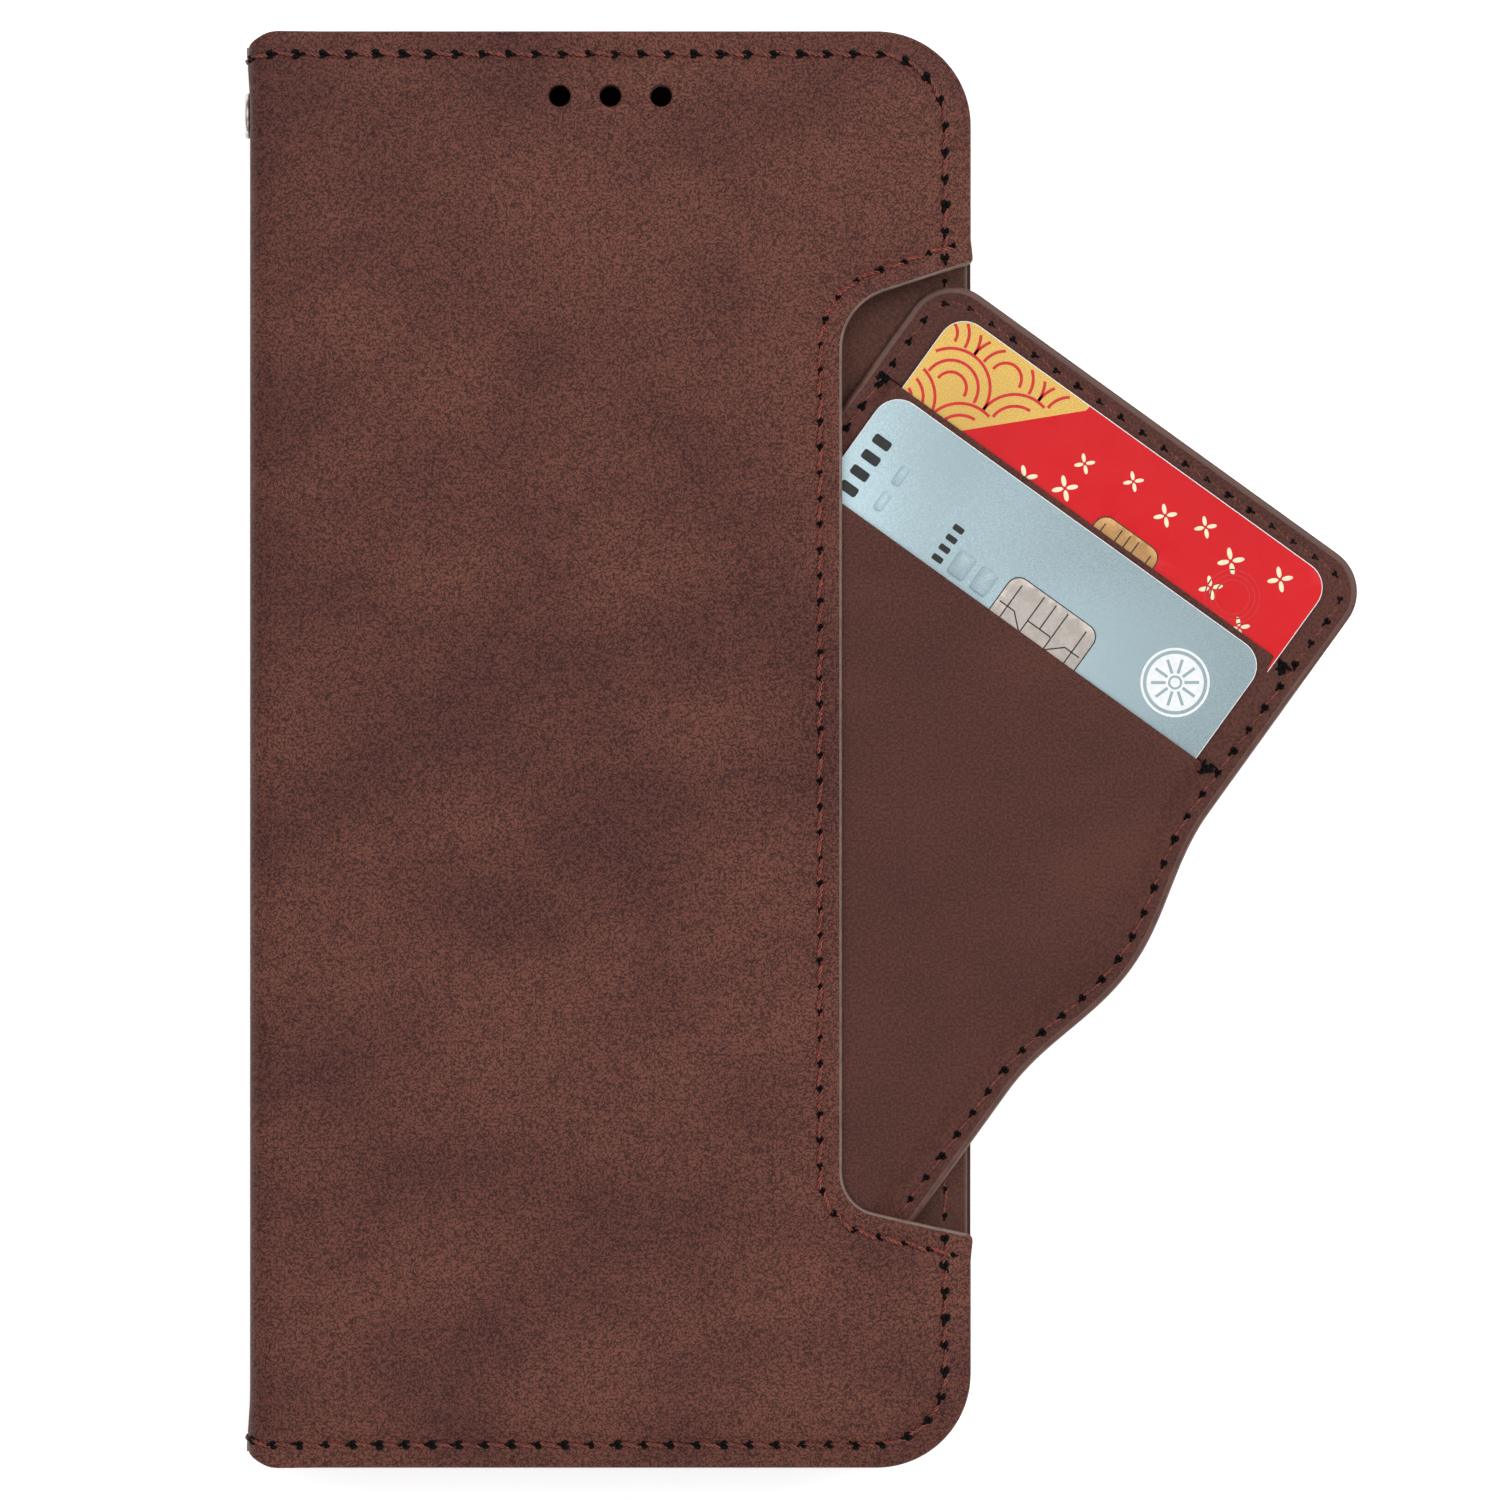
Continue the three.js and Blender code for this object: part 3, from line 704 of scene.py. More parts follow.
def board_material(name, base):
    """Grey bookbinder's board."""
    n = Nodes(name, "object")
    fibre = n.noise(0.4, 4.0, 0.7, stretch=(0.4, 2.0, 2.0))
    fleck = n.noise(1.3, 2.0, 0.5)
    colour = n.mottle(fibre, 0.35, 0.65, base, 0.7)
    colour = n.mix(n.ramp(fleck, 0.62, 0.7), colour, shade(base, 0.5))
    return n.finish(colour, 0.9, n.bump(fibre, 0.05, 0.6))


def moulded_plastic(name, base):
    """Soft moulded plastic with a fine spark-eroded texture."""
    n = Nodes(name, "object")
    grain = n.noise(0.18, 2.0, 0.5)
    flow = n.noise(22, 2.0, 0.5)
    return n.finish(n.mottle(flow, 0.35, 0.65, base, 0.86), n.ramp(grain, 0.3, 0.7, 0.44, 0.58),
                    n.bump(grain, 0.02, 0.7), Specular_IOR_Level=0.3)


def metal(name, base, roughness, coordinates="rest"):
    """Plated metal with fine scratches and a little tarnish."""
    n = Nodes(name, coordinates)
    lines = n.noise(0.25, 3.0, 0.7, stretch=(1, 1, 6))
    stain = n.noise(1.8, 3.0, 0.6)
    rough = n.ramp(stain, 0.3, 0.7, roughness + 0.14, roughness)
    return n.finish(n.mottle(stain, 0.35, 0.7, base, 0.72), rough, n.bump(lines, 0.01, 0.7), Metallic=1.0)


def card_plastic(name, base, speckle, painted_shade=None):
    """Laminated card: a speckled print under a clear film.

    Its last argument, (first x, last x, least), paints shade on the card: it darkens it between two x
    values, down to the least share of its colour.
    """
    n = Nodes(name)
    fine = n.noise(0.16, 2.0, 0.6)
    soft = n.noise(26, 1.0, 0.5)
    colour = n.mottle(n.both(fine, soft, 0.5), 0.36, 0.64, base, 1 - speckle, 1 + speckle)
    # painted shade: the card grows darker towards the larger x, as if lit from the left
    if painted_shade:
        first, last, least = painted_shade
        x = n.add("ShaderNodeSeparateXYZ", {0: n.place}).outputs["X"]
        darker = n.mix(1.0, colour, (least, least, least, 1), "MULTIPLY")
        colour = n.mix(n.ramp(x, first, last), colour, darker)
    scuffs = n.noise(3.5, 4.0, 0.7)
    return n.finish(colour, n.ramp(scuffs, 0.3, 0.7, 0.44, 0.34), n.bump(scuffs, 0.01, 0.5),
                    Specular_IOR_Level=0.35)


def ink(name, base, rough=0.4):
    """Printed ink with slightly uneven cover."""
    n = Nodes(name)
    cover = n.noise(0.5, 3.0, 0.6)
    light = tuple(min(1.0, 1.12 * c + 0.01) for c in base[:3]) + (1,)
    return n.finish(n.mix(n.ramp(cover, 0.35, 0.7), base, light), rough)


COVER_LEATHER = printed_leather("cover_leather", srgb(117, 70, 58), srgb(97, 55, 48))
HOLDER_LEATHER = plain_leather("holder_leather", srgb(83, 47, 40), 0.3)
FACING_LEATHER = plain_leather("facing_leather", srgb(80, 47, 38), 0.25)
INNER_LEATHER = plain_leather("inner_leather", srgb(86, 54, 47), 0.14)
EDGE_PAINT = cut_edge("edge_paint", srgb(126, 104, 94))
# lighter than the holder leather: worn edges, and a painted highlight where the rounded edges catch the
# light
HOLDER_EDGE = cut_edge("holder_edge", srgb(99, 64, 53))
LINING = microfibre("lining", srgb(74, 47, 41))
CAD_LINING = microfibre("hidden_lining", srgb(66, 42, 37), "object")
GREYBOARD = board_material("greyboard", srgb(154, 145, 134))
TRAY_PLASTIC = moulded_plastic("tray_plastic", srgb(58, 38, 32))
NICKEL = metal("nickel", srgb(214, 210, 203), 0.22)
CAD_STEEL = metal("steel", srgb(200, 197, 190), 0.25, "object")
MAGNET_METAL = metal("magnet", srgb(150, 152, 156), 0.35, "object")
RIM_THREAD = thread_material("rim_thread", srgb(126, 64, 54))
MOUTH_THREAD = thread_material("mouth_thread", srgb(142, 72, 60))
BLACK_THREAD = thread_material("black_thread", srgb(9, 8, 8), 0.6, 0.1)
RED_CARD = card_plastic("red_card", srgb(216, 5, 20), 0.08)
GOLD_PRINT = card_plastic("gold_print", srgb(238, 193, 100), 0.22)
# lighter on the left, darker to the right: a painted highlight fading into painted shade across the card
BLUE_CARD = card_plastic("blue_card", srgb(188, 212, 220), 0.18, painted_shade=(26.0, 68.0, 0.6))
CARD_CORE = ink("card_core", srgb(236, 238, 238), 0.5)
RED_INK = ink("red_ink", srgb(205, 24, 28))
CREAM_INK = ink("cream_ink", srgb(250, 232, 196))
BLACK_INK = ink("black_ink", srgb(18, 20, 22))
WHITE_INK = ink("white_ink", srgb(240, 244, 246))
GOLD_CONTACTS = metal("gold_contacts", srgb(206, 160, 108), 0.32)
SILVER_CONTACTS = metal("silver_contacts", srgb(205, 196, 188), 0.34)


# ---- seam lines and heights of the cover

def edge_distance(points):
    """Distance in from the case's top, bottom and free edges, which meet in round corners."""
    x = points[:, 0] - (FREE_X - CORNER_R)
    y = np.abs(points[:, 1]) - (HALF_Y - CORNER_R)
    return CORNER_R - np.where((x > 0) & (y > 0), np.hypot(x, y), np.maximum(x, y))


FOLD_LENGTH = math.pi / 2 * FOLD_R
SPINE_START = SPINE_X + FOLD_R - FOLD_LENGTH
FRONT_END = SPINE_START - (TOP_Z - FOLD_R - SPLIT_Z)
BACK_END = SPINE_START - (SPLIT_Z - FOLD_R)


def rim_line(end_x, inset=RIM_SEAM):
    """The seam round a cover, which runs on over the fold to the end of the sheet on the spine."""
    y, x = HALF_Y - inset, FREE_X - inset - 0.3
    r = CORNER_R - inset
    return rounded([(end_x, -y), (x, -y, r), (x, y, r), (end_x, y)], 0.5, closed=False)


front_rim_seam = Seam(rim_line(FRONT_END))
back_rim_seam = Seam(rim_line(BACK_END), depth=0.3)
inside_mouth = rounded([(FREE_X + 2, MOUTH[0][1] - 0.6), *MOUTH[1:3], (FREE_X + 2, MOUTH[3][1] + 0.6)],
                       0.5, closed=False)
mouth_line = shifted(inside_mouth, MOUTH_SEAM, closed=False)
mouth_seam = Seam(mouth_line[mouth_line[:, 0] < FREE_X - 0.4], pitch=3.0)


def front_fall(points):
    """How far the padded front falls towards its sewn edges."""
    x = points[:, 0]
    amount = FOLD_DROP * smooth(x, FRONT_END, SPINE_START)
    amount += (RIM_DROP - FOLD_DROP) * smooth(x, *PAD_START)
    return amount * (1 - np.sin(math.pi / 2 * np.clip(edge_distance(points) / PILLOW, 0, 1)))


def spine_flare(points):
    """The spine's leather stands out a little at its two ends."""
    x, y = points[:, 0], np.abs(points[:, 1])
    return FLARE * smooth(-x, -SPINE_START - 3, -SPINE_START) * smooth(y, 73, 82) ** 2


def front_top(points):
    return (spine_flare(points) - front_fall(points)
            - front_rim_seam.pressed(points) - mouth_seam.pressed(points))


def front_bottom(points):
    """The underside: thin over the pocket and the spine, and down to the facing at the hem."""
    x, y = points[:, 0], points[:, 1]
    thin = front_top(points) - SKIN - 0.5 * (1 - smooth(HALF_Y - np.abs(y), 0.6, 2.2))
    pocket = (smooth(x, POCKET["left"] - 0.5, POCKET["left"])
              * (1 - smooth(x, POCKET["right"] - 0.4, POCKET["right"]))
              * smooth(y, POCKET["bottom"] - 0.5, POCKET["bottom"])
              * (1 - smooth(y, POCKET["top"], POCKET["top"] + 0.5)))
    hem = HEM_Z - TOP_Z - 0.9 * (1 - smooth(edge_distance(points), 0.4, 2.6))
    on_cover = smooth(x, FOLD_X - 0.2, FOLD_X + 0.8)
    return thin + (np.minimum(hem, thin) - thin) * on_cover * (1 - pocket)


def on_mouth(points):
    """Which points of the front sheet's outline lie on the mouth of the pocket."""
    x, y = points[:, 0], points[:, 1]
    return ((x < FREE_X - 0.15) & (x > 20) & (np.abs(y) < 57.4)).astype(int)


on_front = Bent([(FREE_X + 10, TOP_Z), (SPINE_X, TOP_Z, FOLD_R), (SPINE_X, SPLIT_Z - 1)], 1, round_end)
on_back = Bent([(FREE_X + 10, 0), (SPINE_X, 0, FOLD_R), (SPINE_X, SPLIT_Z + 1)], -1, round_end)
# Folds: the two bodies, the x where each takes over, and the height.
FRONT_FOLD = ("spine", "front_cover", SPINE_X + 0.4, FOLD_X, TOP_Z)
BACK_FOLD = ("back_cover", "spine", FOLD_X, SPINE_X + 0.4, 0)


def meets_at(end_x):
    """Nearly no rounding at the end of a sheet that butts against the next one on the spine."""
    return lambda points: 0.08 + 0.92 * smooth(points[:, 0], end_x + 0.1, end_x + 0.9)


def earpiece_holes():
    return [circle(i * EARPIECE["pitch"], EARPIECE["y"], EARPIECE["r"])[::-1] for i in (-1, 0, 1)]


def back_holes(eyelet_x):
    """The camera window, and the strap eyelet's hole at this x of the flat sheet."""
    return [rectangle(*CAMERA_WINDOW)[::-1], circle(eyelet_x, EYELET_Y, EYELET_HOLE_R)[::-1]]


def cover_outline(end_x, spacing):
    return rounded([(end_x, -HALF_Y), (FREE_X, -HALF_Y, CORNER_R),
                    (FREE_X, HALF_Y, CORNER_R), (end_x, HALF_Y)], spacing)


def front_cover_leather():
    outline = rounded([(FRONT_END, -HALF_Y), (FREE_X, -HALF_Y, CORNER_R), (FREE_X, -59.5, 3.0), *MOUTH,
                       (FREE_X, 59.5, 3.0), (FREE_X, HALF_Y, CORNER_R), (FRONT_END, HALF_Y)], 0.7)
    inner_pocket = rectangle(POCKET["left"], POCKET["bottom"], POCKET["right"], POCKET["top"], 1.0)
    lines = [*front_rim_seam.lines(), *mouth_seam.lines(), inner_pocket]
    made = sheet("front_cover_leather", outline, on_front, front_top, front_bottom,
                 [COVER_LEATHER, EDGE_PAINT], holes=earpiece_holes(), lines=lines, spacing=1.1,
                 round_top=0.32, round_bottom=0.15, round_share=meets_at(FRONT_END), edge_slot=on_mouth)
    attach(made, FRONT_FOLD, "cover_leather", "front_skin")
    stitches("front_rim_stitches", front_rim_seam, on_front, front_top, FRONT_FOLD,
             keep=lambda p: (np.abs(p[:, 1]) > 56) | (p[:, 0] < 30))
    stitches("mouth_stitches", mouth_seam, on_front, front_top, "front_cover", thread=MOUTH_THREAD, seed=2,
             knot_size=(0.5, 0.4, 0.28), thread_r=0.2)


# ---- back cover and spine leather

def back_top(points):
    """The back sheet is flat where the case lies on it, and is pressed in along its seam."""
    return spine_flare(points) - back_rim_seam.pressed(points)


def back_bottom(points):
    """The sheet's inner side, thicker at its turned edges, where it meets the lining."""
    x, y = points[:, 0], np.abs(points[:, 1])
    edge = np.where(x > FOLD_X, edge_distance(points), HALF_Y - y)
    turned = 1 - smooth(edge, 0.6, 2.2)
    window = nearest(points, rectangle(*CAMERA_WINDOW))
    turned = np.maximum(turned, (1 - smooth(window, 0.5, 1.6)) * (x > 0))
    return -BACK_SKIN_Z - (BACK_LINING_Z[0] - BACK_SKIN_Z) * turned


def back_cover_leather():
    holes = back_holes(SPINE_START - (EYELET_Z - FOLD_R))
    made = sheet("back_cover_leather", cover_outline(BACK_END, 0.8), on_back, back_top, back_bottom,
                 [COVER_LEATHER], holes=holes, lines=back_rim_seam.lines(), spacing=1.6, round_top=0.4,
                 round_bottom=0.15, round_share=meets_at(BACK_END))
    attach(made, BACK_FOLD, "cover_leather", "back_skin", "spine_skin")
    stitches("back_rim_stitches", back_rim_seam, on_back, lambda p: back_top(p) - 0.14, BACK_FOLD, seed=3,
             lift=0.05, thread_r=0.15, knot_size=(0.6, 0.42, 0.18))


# ---- linings

COVER_WALL_Z = 18.8
SPINE_INNER_X = SPINE_LINING_X[1]
UTURN_R = (FOLD_X - SPINE_INNER_X) / 2 - 0.001
on_cover_lining = Bent([(FREE_X + 10, COVER_LINING_Z), (FOLD_X, COVER_LINING_Z, 0.6),
                        (FOLD_X, COVER_WALL_Z, UTURN_R), (SPINE_INNER_X, COVER_WALL_Z, UTURN_R),
                        (SPINE_INNER_X, SPLIT_Z - 1)], -1, lambda x, _: 1 - smooth(x, FOLD_X - 6, FOLD_X))
on_back_lining = Bent([(FREE_X + 10, BACK_LINING_Z[1]), (SPINE_INNER_X, BACK_LINING_Z[1], 0.8),
                       (SPINE_INNER_X, SPLIT_Z + 1)], 1, lambda x, _: 1 - smooth(x, -42.0, -38.0))
COVER_LINING_END = FOLD_X - (COVER_WALL_Z - COVER_LINING_Z) - (COVER_WALL_Z - SPLIT_Z) - 0.2
BACK_LINING_END = SPINE_INNER_X - (SPLIT_Z - BACK_LINING_Z[1]) + 0.34
cover_lining_seam = Seam(rim_line(-37.5, 2.9), depth=0.18)


def cover_lining():
    top = lambda p: -cover_lining_seam.pressed(p)
    made = sheet("cover_lining", cover_outline(COVER_LINING_END, 1.2), on_cover_lining, top,
                 level(-LINING_SKIN), [LINING], holes=earpiece_holes(), lines=cover_lining_seam.lines(),
                 spacing=2.0, round_top=0.15, round_bottom=0.15)
    fold = ("spine", "front_cover", SPINE_INNER_X, FOLD_X, COVER_WALL_Z)
    attach(made, fold, "lining", "front_lining")
    stitches("cover_lining_stitches", cover_lining_seam, on_cover_lining, top, "front_cover", seed=4,
             lift=0.12, knot_size=(0.45, 0.3, 0.18), thread_r=0.13)


def tray_side_lining():
    """The lining under the phone tray, which turns up along the inside of the spine."""
    holes = back_holes(BACK_LINING_END + SPLIT_Z - EYELET_Z)
    made = sheet("back_and_spine_lining", cover_outline(BACK_LINING_END, 1.2), on_back_lining, level(0),
                 level(-LINING_SKIN - 0.05), [LINING], holes=holes, spacing=2.5, round_top=0.15,
                 round_bottom=0.15)
    fold = ("back_cover", "spine", FOLD_X, SPINE_INNER_X, 0)
    attach(made, fold, "lining", "back_lining", "spine_lining")


# ---- inside of the pocket

def facing_fall(points):
    return 0.9 * (1 - smooth(edge_distance(points), 0.7, 3.4))


facing_seam = Seam(rounded([(39.0, -56.0), (39.0, 56.0)], 0.5, closed=False), depth=0.15)


def pocket_facing():
    """The leather behind the card holder. It shows in the mouth of the pocket."""
    left, edge = FOLD_X + 0.5, 0.4
    y, x, r = HALF_Y - edge, FREE_X - edge, CORNER_R - edge
    outline = rounded([(left, -y, 0.5), (x, -y, r), (x, y, r), (left, y, 0.5)], 1.2)
    low, high = FACING_Z
    top = lambda p: high - facing_fall(p) - facing_seam.pressed(p)
    made = sheet("pocket_facing_leather", outline, upright, top, lambda p: low - facing_fall(p),
                 [FACING_LEATHER, HOLDER_EDGE], holes=earpiece_holes(), lines=facing_seam.lines(),
                 spacing=2.0, round_top=0.3, round_bottom=0.15, edge_slot=second_material)
    attach(made, "front_cover", "cover_leather", "pocket_facing")
    stitches("facing_stitches", facing_seam, upright, top, "front_cover", seed=5, lift=0.05, thread_r=0.15,
             knot_size=(0.45, 0.3, 0.14))


# ---- pockets on the inside of the cover

def inner_pocket_panel(node, notch=False):
    """A leather panel inside the cover with a creased open edge, which may have a thumb notch."""
    left, right = span(node, "x")
    bottom, top_y = span(node, "y")
    low, high = span(node, "z")
    corners = [(left, bottom, 2.5), (right, bottom, 2.5), (right, top_y, 1.2)]
    middle = (left + right) / 2
    if notch:
        wide, narrow, deep = 10.5, 6.5, 6
        corners += [(middle + wide, top_y, 2.5), (middle + narrow, top_y - deep, 6),
                    (middle - narrow, top_y - deep, 6), (middle - wide, top_y, 2.5)]
    corners.append((left, top_y, 1.2))
    outline = rounded(corners, 1.0)
    x0, x1, y0, y1 = left + PANEL_SEAM, right - PANEL_SEAM, bottom + PANEL_SEAM, top_y - 1.5
    side_seam = Seam(rounded([(x0, y1), (x0, y0, 1.5), (x1, y0, 1.5), (x1, y1)], 0.5, False))
    inner = shifted(outline, 1.6)
    crease = inner[inner[:, 1] > top_y - (9 if notch else 3)]
    if notch:
        crease = crease[nearest(crease, outline) > 1.45]

    def below(points):
        line = np.exp(-(nearest(points, crease) / 0.35) ** 2)
        return -low - 0.12 * line - 0.6 * side_seam.pressed(points)

    hanging = lambda p, h: np.column_stack([p, -h])
    made = sheet(node + "_leather", outline, hanging, below, level(-high), [INNER_LEATHER, HOLDER_EDGE],
                 lines=[crease, *side_seam.lines()[1:4]], spacing=2.5, round_top=0.12, round_bottom=0.08,
                 edge_slot=second_material)
    attach(made, "front_cover", "inner_leather", node)
    stitches(node + "_stitches", side_seam, hanging, below, "front_cover", seed=6, lift=0.08,
             knot_size=(0.4, 0.26, 0.14), thread_r=0.11)


# ---- card holder

def bulge(y):
    """How far the thumb bulge stands out of the holder's side at this height."""
    t = np.clip((y - BULGE["y"]) / BULGE["half"], -1, 1)
    return BULGE["height"] * (1 + np.cos(math.pi * t)) / 2


def holder_outline():
    h = HOLDER
    swell = [(h["right"] + bulge(y), y) for y in BULGE["y"] + BULGE["half"] * np.linspace(-1, 1, 41)]
    corners = [(h["left"], h["bottom"], h["bottom_r"]), (h["right"], h["bottom"], h["bottom_r"]), *swell,
               (h["right"], h["top"], h["top_r"]), (h["left"], h["top"], h["top_r"])]
    return rounded(corners, 0.9)


holder_rim = holder_outline()
holder_seam = Seam(shifted(holder_rim, HOLDER_SEAM), closed=True, depth=0.14)


def holder_top(points):
    """The holder's upper face: sewn rims, and a step up over each card."""
    x, y = points[:, 0], points[:, 1]
    above, between, below = REAR_CARD_Z[0] - 0.05, DIVIDER_TOP_Z, HOLDER_TOP_Z
    rim = above + 1.1 * smooth(-y, -91.5, -84) + 0.5 * smooth(-y, -78, -66)  # a step beside each slit
    panel = np.where(y > SLITS[0], above, np.where(y > SLITS[1], between, below))
    left, right = SLIT_ENDS
    from_left = smooth(x, left, left + 1.4)
    side = right + np.where(y < SLITS[1] - 3, bulge(y), 0.0)  # the panel follows the thumb bulge
    from_right = 1 - smooth(x, side - 2.4, side)
    from_end = smooth(y, HOLDER["bottom"] + 1.2, HOLDER["bottom"] + 3.8)
    from_top = 1 - smooth(y, HOLDER["top"] - 2.9, HOLDER["top"] - 2.4)
    raised = from_left * from_right * from_end * from_top
    return rim + (panel - rim) * raised - holder_seam.pressed(points)


def holder_bottom(points):
    """Thin over the card slots, and down to the back skin at the rims and behind the rear card."""
    x, y = points[:, 0], points[:, 1]
    slots = smooth(x, -31.0, -30.6) * (1 - smooth(x, 25.3, 25.6)) * smooth(y, -3.2, -2.8)
    slots *= 1 - smooth(y, SLITS[0], SLITS[0] + 0.5)
    thin = holder_top(points) - HOLDER_SKIN
    return HOLDER_BACK_Z[1] + (np.maximum(thin, HOLDER_BACK_Z[1]) - HOLDER_BACK_Z[1]) * slots


def slit(y):
    """The narrow opening that a card goes in by."""
    left, right = SLIT_ENDS
    return rectangle(left, y - 0.06, right - 0.4, y + 0.1, 0.0, 0.6)[::-1]


def card_holder():
    left, right = SLIT_ENDS
    along_slits = [rounded([(left, y + dy), (right, y + dy)], 0.6, False)
                   for y in SLITS for dy in (-0.8, -0.4, 0.5, 0.9)]
    along_sides = [rounded([(x, -3), (x, 102)], 0.8, False)
                   for x in (-31.2, -30.6, -30.1, 23.4, 24.2, 25.0, 25.8)]
    # the rounded rim takes the lighter edge material: worn leather with a painted highlight
    made = sheet("holder_front_leather", holder_rim, on_holder, holder_top, holder_bottom,
                 [HOLDER_LEATHER, HOLDER_EDGE], holes=[slit(y) for y in SLITS],
                 lines=[*holder_seam.lines(), *along_slits, *along_sides], spacing=1.3, round_top=0.7,
                 round_bottom=0.05, round_holes=0.05,
                 edge_slot=lambda p: (nearest(p, holder_rim) < 0.5).astype(int))
    attach(made, "card_holder", "holder_leather", "holder_front_skin")
    back = sheet("holder_back_leather", holder_rim, on_holder, level(HOLDER_BACK_Z[1]),
                 level(HOLDER_BACK_Z[0]), [HOLDER_LEATHER], spacing=3.0, round_top=0.1, round_bottom=0.2,
                 holes=[circle(0, 0, RIVET_HOLE_R)[::-1]])
    attach(back, "card_holder", "holder_leather", "holder_back_skin")
    sunk = lambda p: holder_top(p) - 0.22 * smooth(p[:, 1], 90.5, 92.0)  # clear of the sliding card
    stitches("holder_stitches", holder_seam, on_holder, sunk, "card_holder", seed=7,
             knot_size=(0.58, 0.44, 0.33), thread_r=0.14, lift=0.12)


# ---- cards

def ribbon(line, width, height, closed=False):
    """Vertices and faces of a flat printed line of this width."""
    left = shifted(line, width / 2, closed)
    right = shifted(line, -width / 2, closed)
    n = len(line)
    vertices = on_holder(np.concatenate([left, right]), np.full(2 * n, float(height)))
    last = n if closed else n - 1
    faces = [(i, n + i, n + (i + 1) % n, (i + 1) % n) for i in range(last)]
    return vertices, faces


def joined(parts):
    """Vertices and faces of several parts as one."""
    vertices, faces, count = [], [], 0
    for points, polygons in parts:
        vertices.append(points)
        faces += [tuple(count + i for i in f) for f in polygons]
        count += len(points)
    return np.concatenate(vertices), faces


def printed(name, parts, material, body, slot):
    """One piece from all the parts."""
    attach(mesh_object(name, *joined(parts), [material]), body, slot)


def patch_print(outline, height):
    """Vertices and the one face of a flat printed patch."""
    return on_holder(outline, np.full(len(outline), float(height))), [tuple(range(len(outline)))]


def wave_pattern(left, top_y, turn):
    """Rows of overlapping scales of three arcs each, kept clear of the gold corner's edges."""
    r = 4.6
    centres = [(left + (i + 0.5 * (j % 2)) * 2 * r - r, top_y + r * (0.3 - j))
               for j in range(6) for i in range(5)]
    kept = []
    for cx, cy in centres:
        for reach in (r, 0.7 * r, 0.4 * r):
            line = arc(cx, cy, reach, np.radians(np.linspace(2, 178, 48)))
            x, y = line.T
            shown = (x > left + 0.6) & (y < top_y - 0.6) & (y - top_y > x - turn + 1.0)
            for ox, oy in centres:
                if oy < cy - 0.1:
                    shown &= np.hypot(x - ox, y - oy) > r + 0.05
            runs = np.split(np.arange(len(line)), np.flatnonzero(np.diff(shown.astype(int))) + 1)
            kept += [line[run] for run in runs if shown[run[0]] and len(run) > 8]
    return kept


def card_piece(body, corner, heights, chip, materials, top_slot, slot, lines=()):
    """A card with a recess for its contact plate, a white core showing at its edge and eased corners."""
    low, high = heights
    gap, depth = 0.12, 0.12  # round and under the contact plate
    chip_low, chip_high = np.array(chip[:2]) - gap, np.array(chip[2:]) + gap
    plate = rectangle(*chip_low, *chip_high, 1.6, 0.5)
    floor_line = shifted(plate, 0.1)

    def top(points):
        within = np.max(np.abs(points - (chip_low + chip_high) / 2) - (chip_high - chip_low) / 2, axis=1)
        return high - depth * (1 - smooth(within, -0.12, 0.0))

    left, top_y = corner
    outline = rectangle(left, top_y - CARD["height"], left + CARD["width"], top_y, CARD["r"], 0.8)
    made = sheet(body + "_printed", outline, on_holder, top, level(low), materials, spacing=2.5,
                 lines=[plate, floor_line, *lines], round_top=0.1, round_bottom=0.1,
                 edge_slot=second_material, top_slot=top_slot)
    attach(made, body, slot, body)


def contact_plate(body, chip, height, material, slot):
    """A card's contact plate: eight pads round a middle pad, parted by dark lines."""
    left, bottom, right, top_y = chip
    outline = rectangle(left, bottom, right, top_y, 1.5, 0.4)
    plate = sheet(body + "_contacts", outline, on_holder, level(height + 0.03), level(height - 0.1),
                  [material], spacing=1.5, round_top=0.04, round_bottom=0.04)
    attach(plate, body, slot, body + "_chip")
    a, b, low, high = 0.36, 0.64, 0.34, 0.66  # the middle pad, in shares of the plate's sides
    routes = [[(a, high), (b, high), (b, low), (a, low), (a, high)],
              [(a, 0.97), (a, high)], [(b, 0.97), (b, high)], [(a, 0.03), (a, low)], [(b, 0.03), (b, low)],
              [(0.5, 0.97), (0.5, high)],
              [(0.03, high), (0.2, high), (a, 0.5)], [(0.97, high), (0.8, high), (b, 0.5)],
              [(0.03, low), (0.2, low), (a, 0.5)], [(0.97, low), (0.8, low), (b, 0.5)],
              [(0.12, 0.93), (0.12, 0.07)], [(0.88, 0.93), (0.88, 0.07)]]
    lines = []
    for route in routes:
        spots = [(left + x * (right - left), bottom + y * (top_y - bottom), 0.3) for x, y in route]
        lines.append(ribbon(rounded(spots, 0.3, False), 0.16, height + 0.045))
    rim = ribbon(rectangle(left - 0.05, bottom - 0.05, right + 0.05, top_y + 0.05, 1.55, 0.4), 0.14,
                 height + 0.02, closed=True)
    printed(body + "_contacts_gaps", [*lines, rim], BLACK_INK, body, slot)


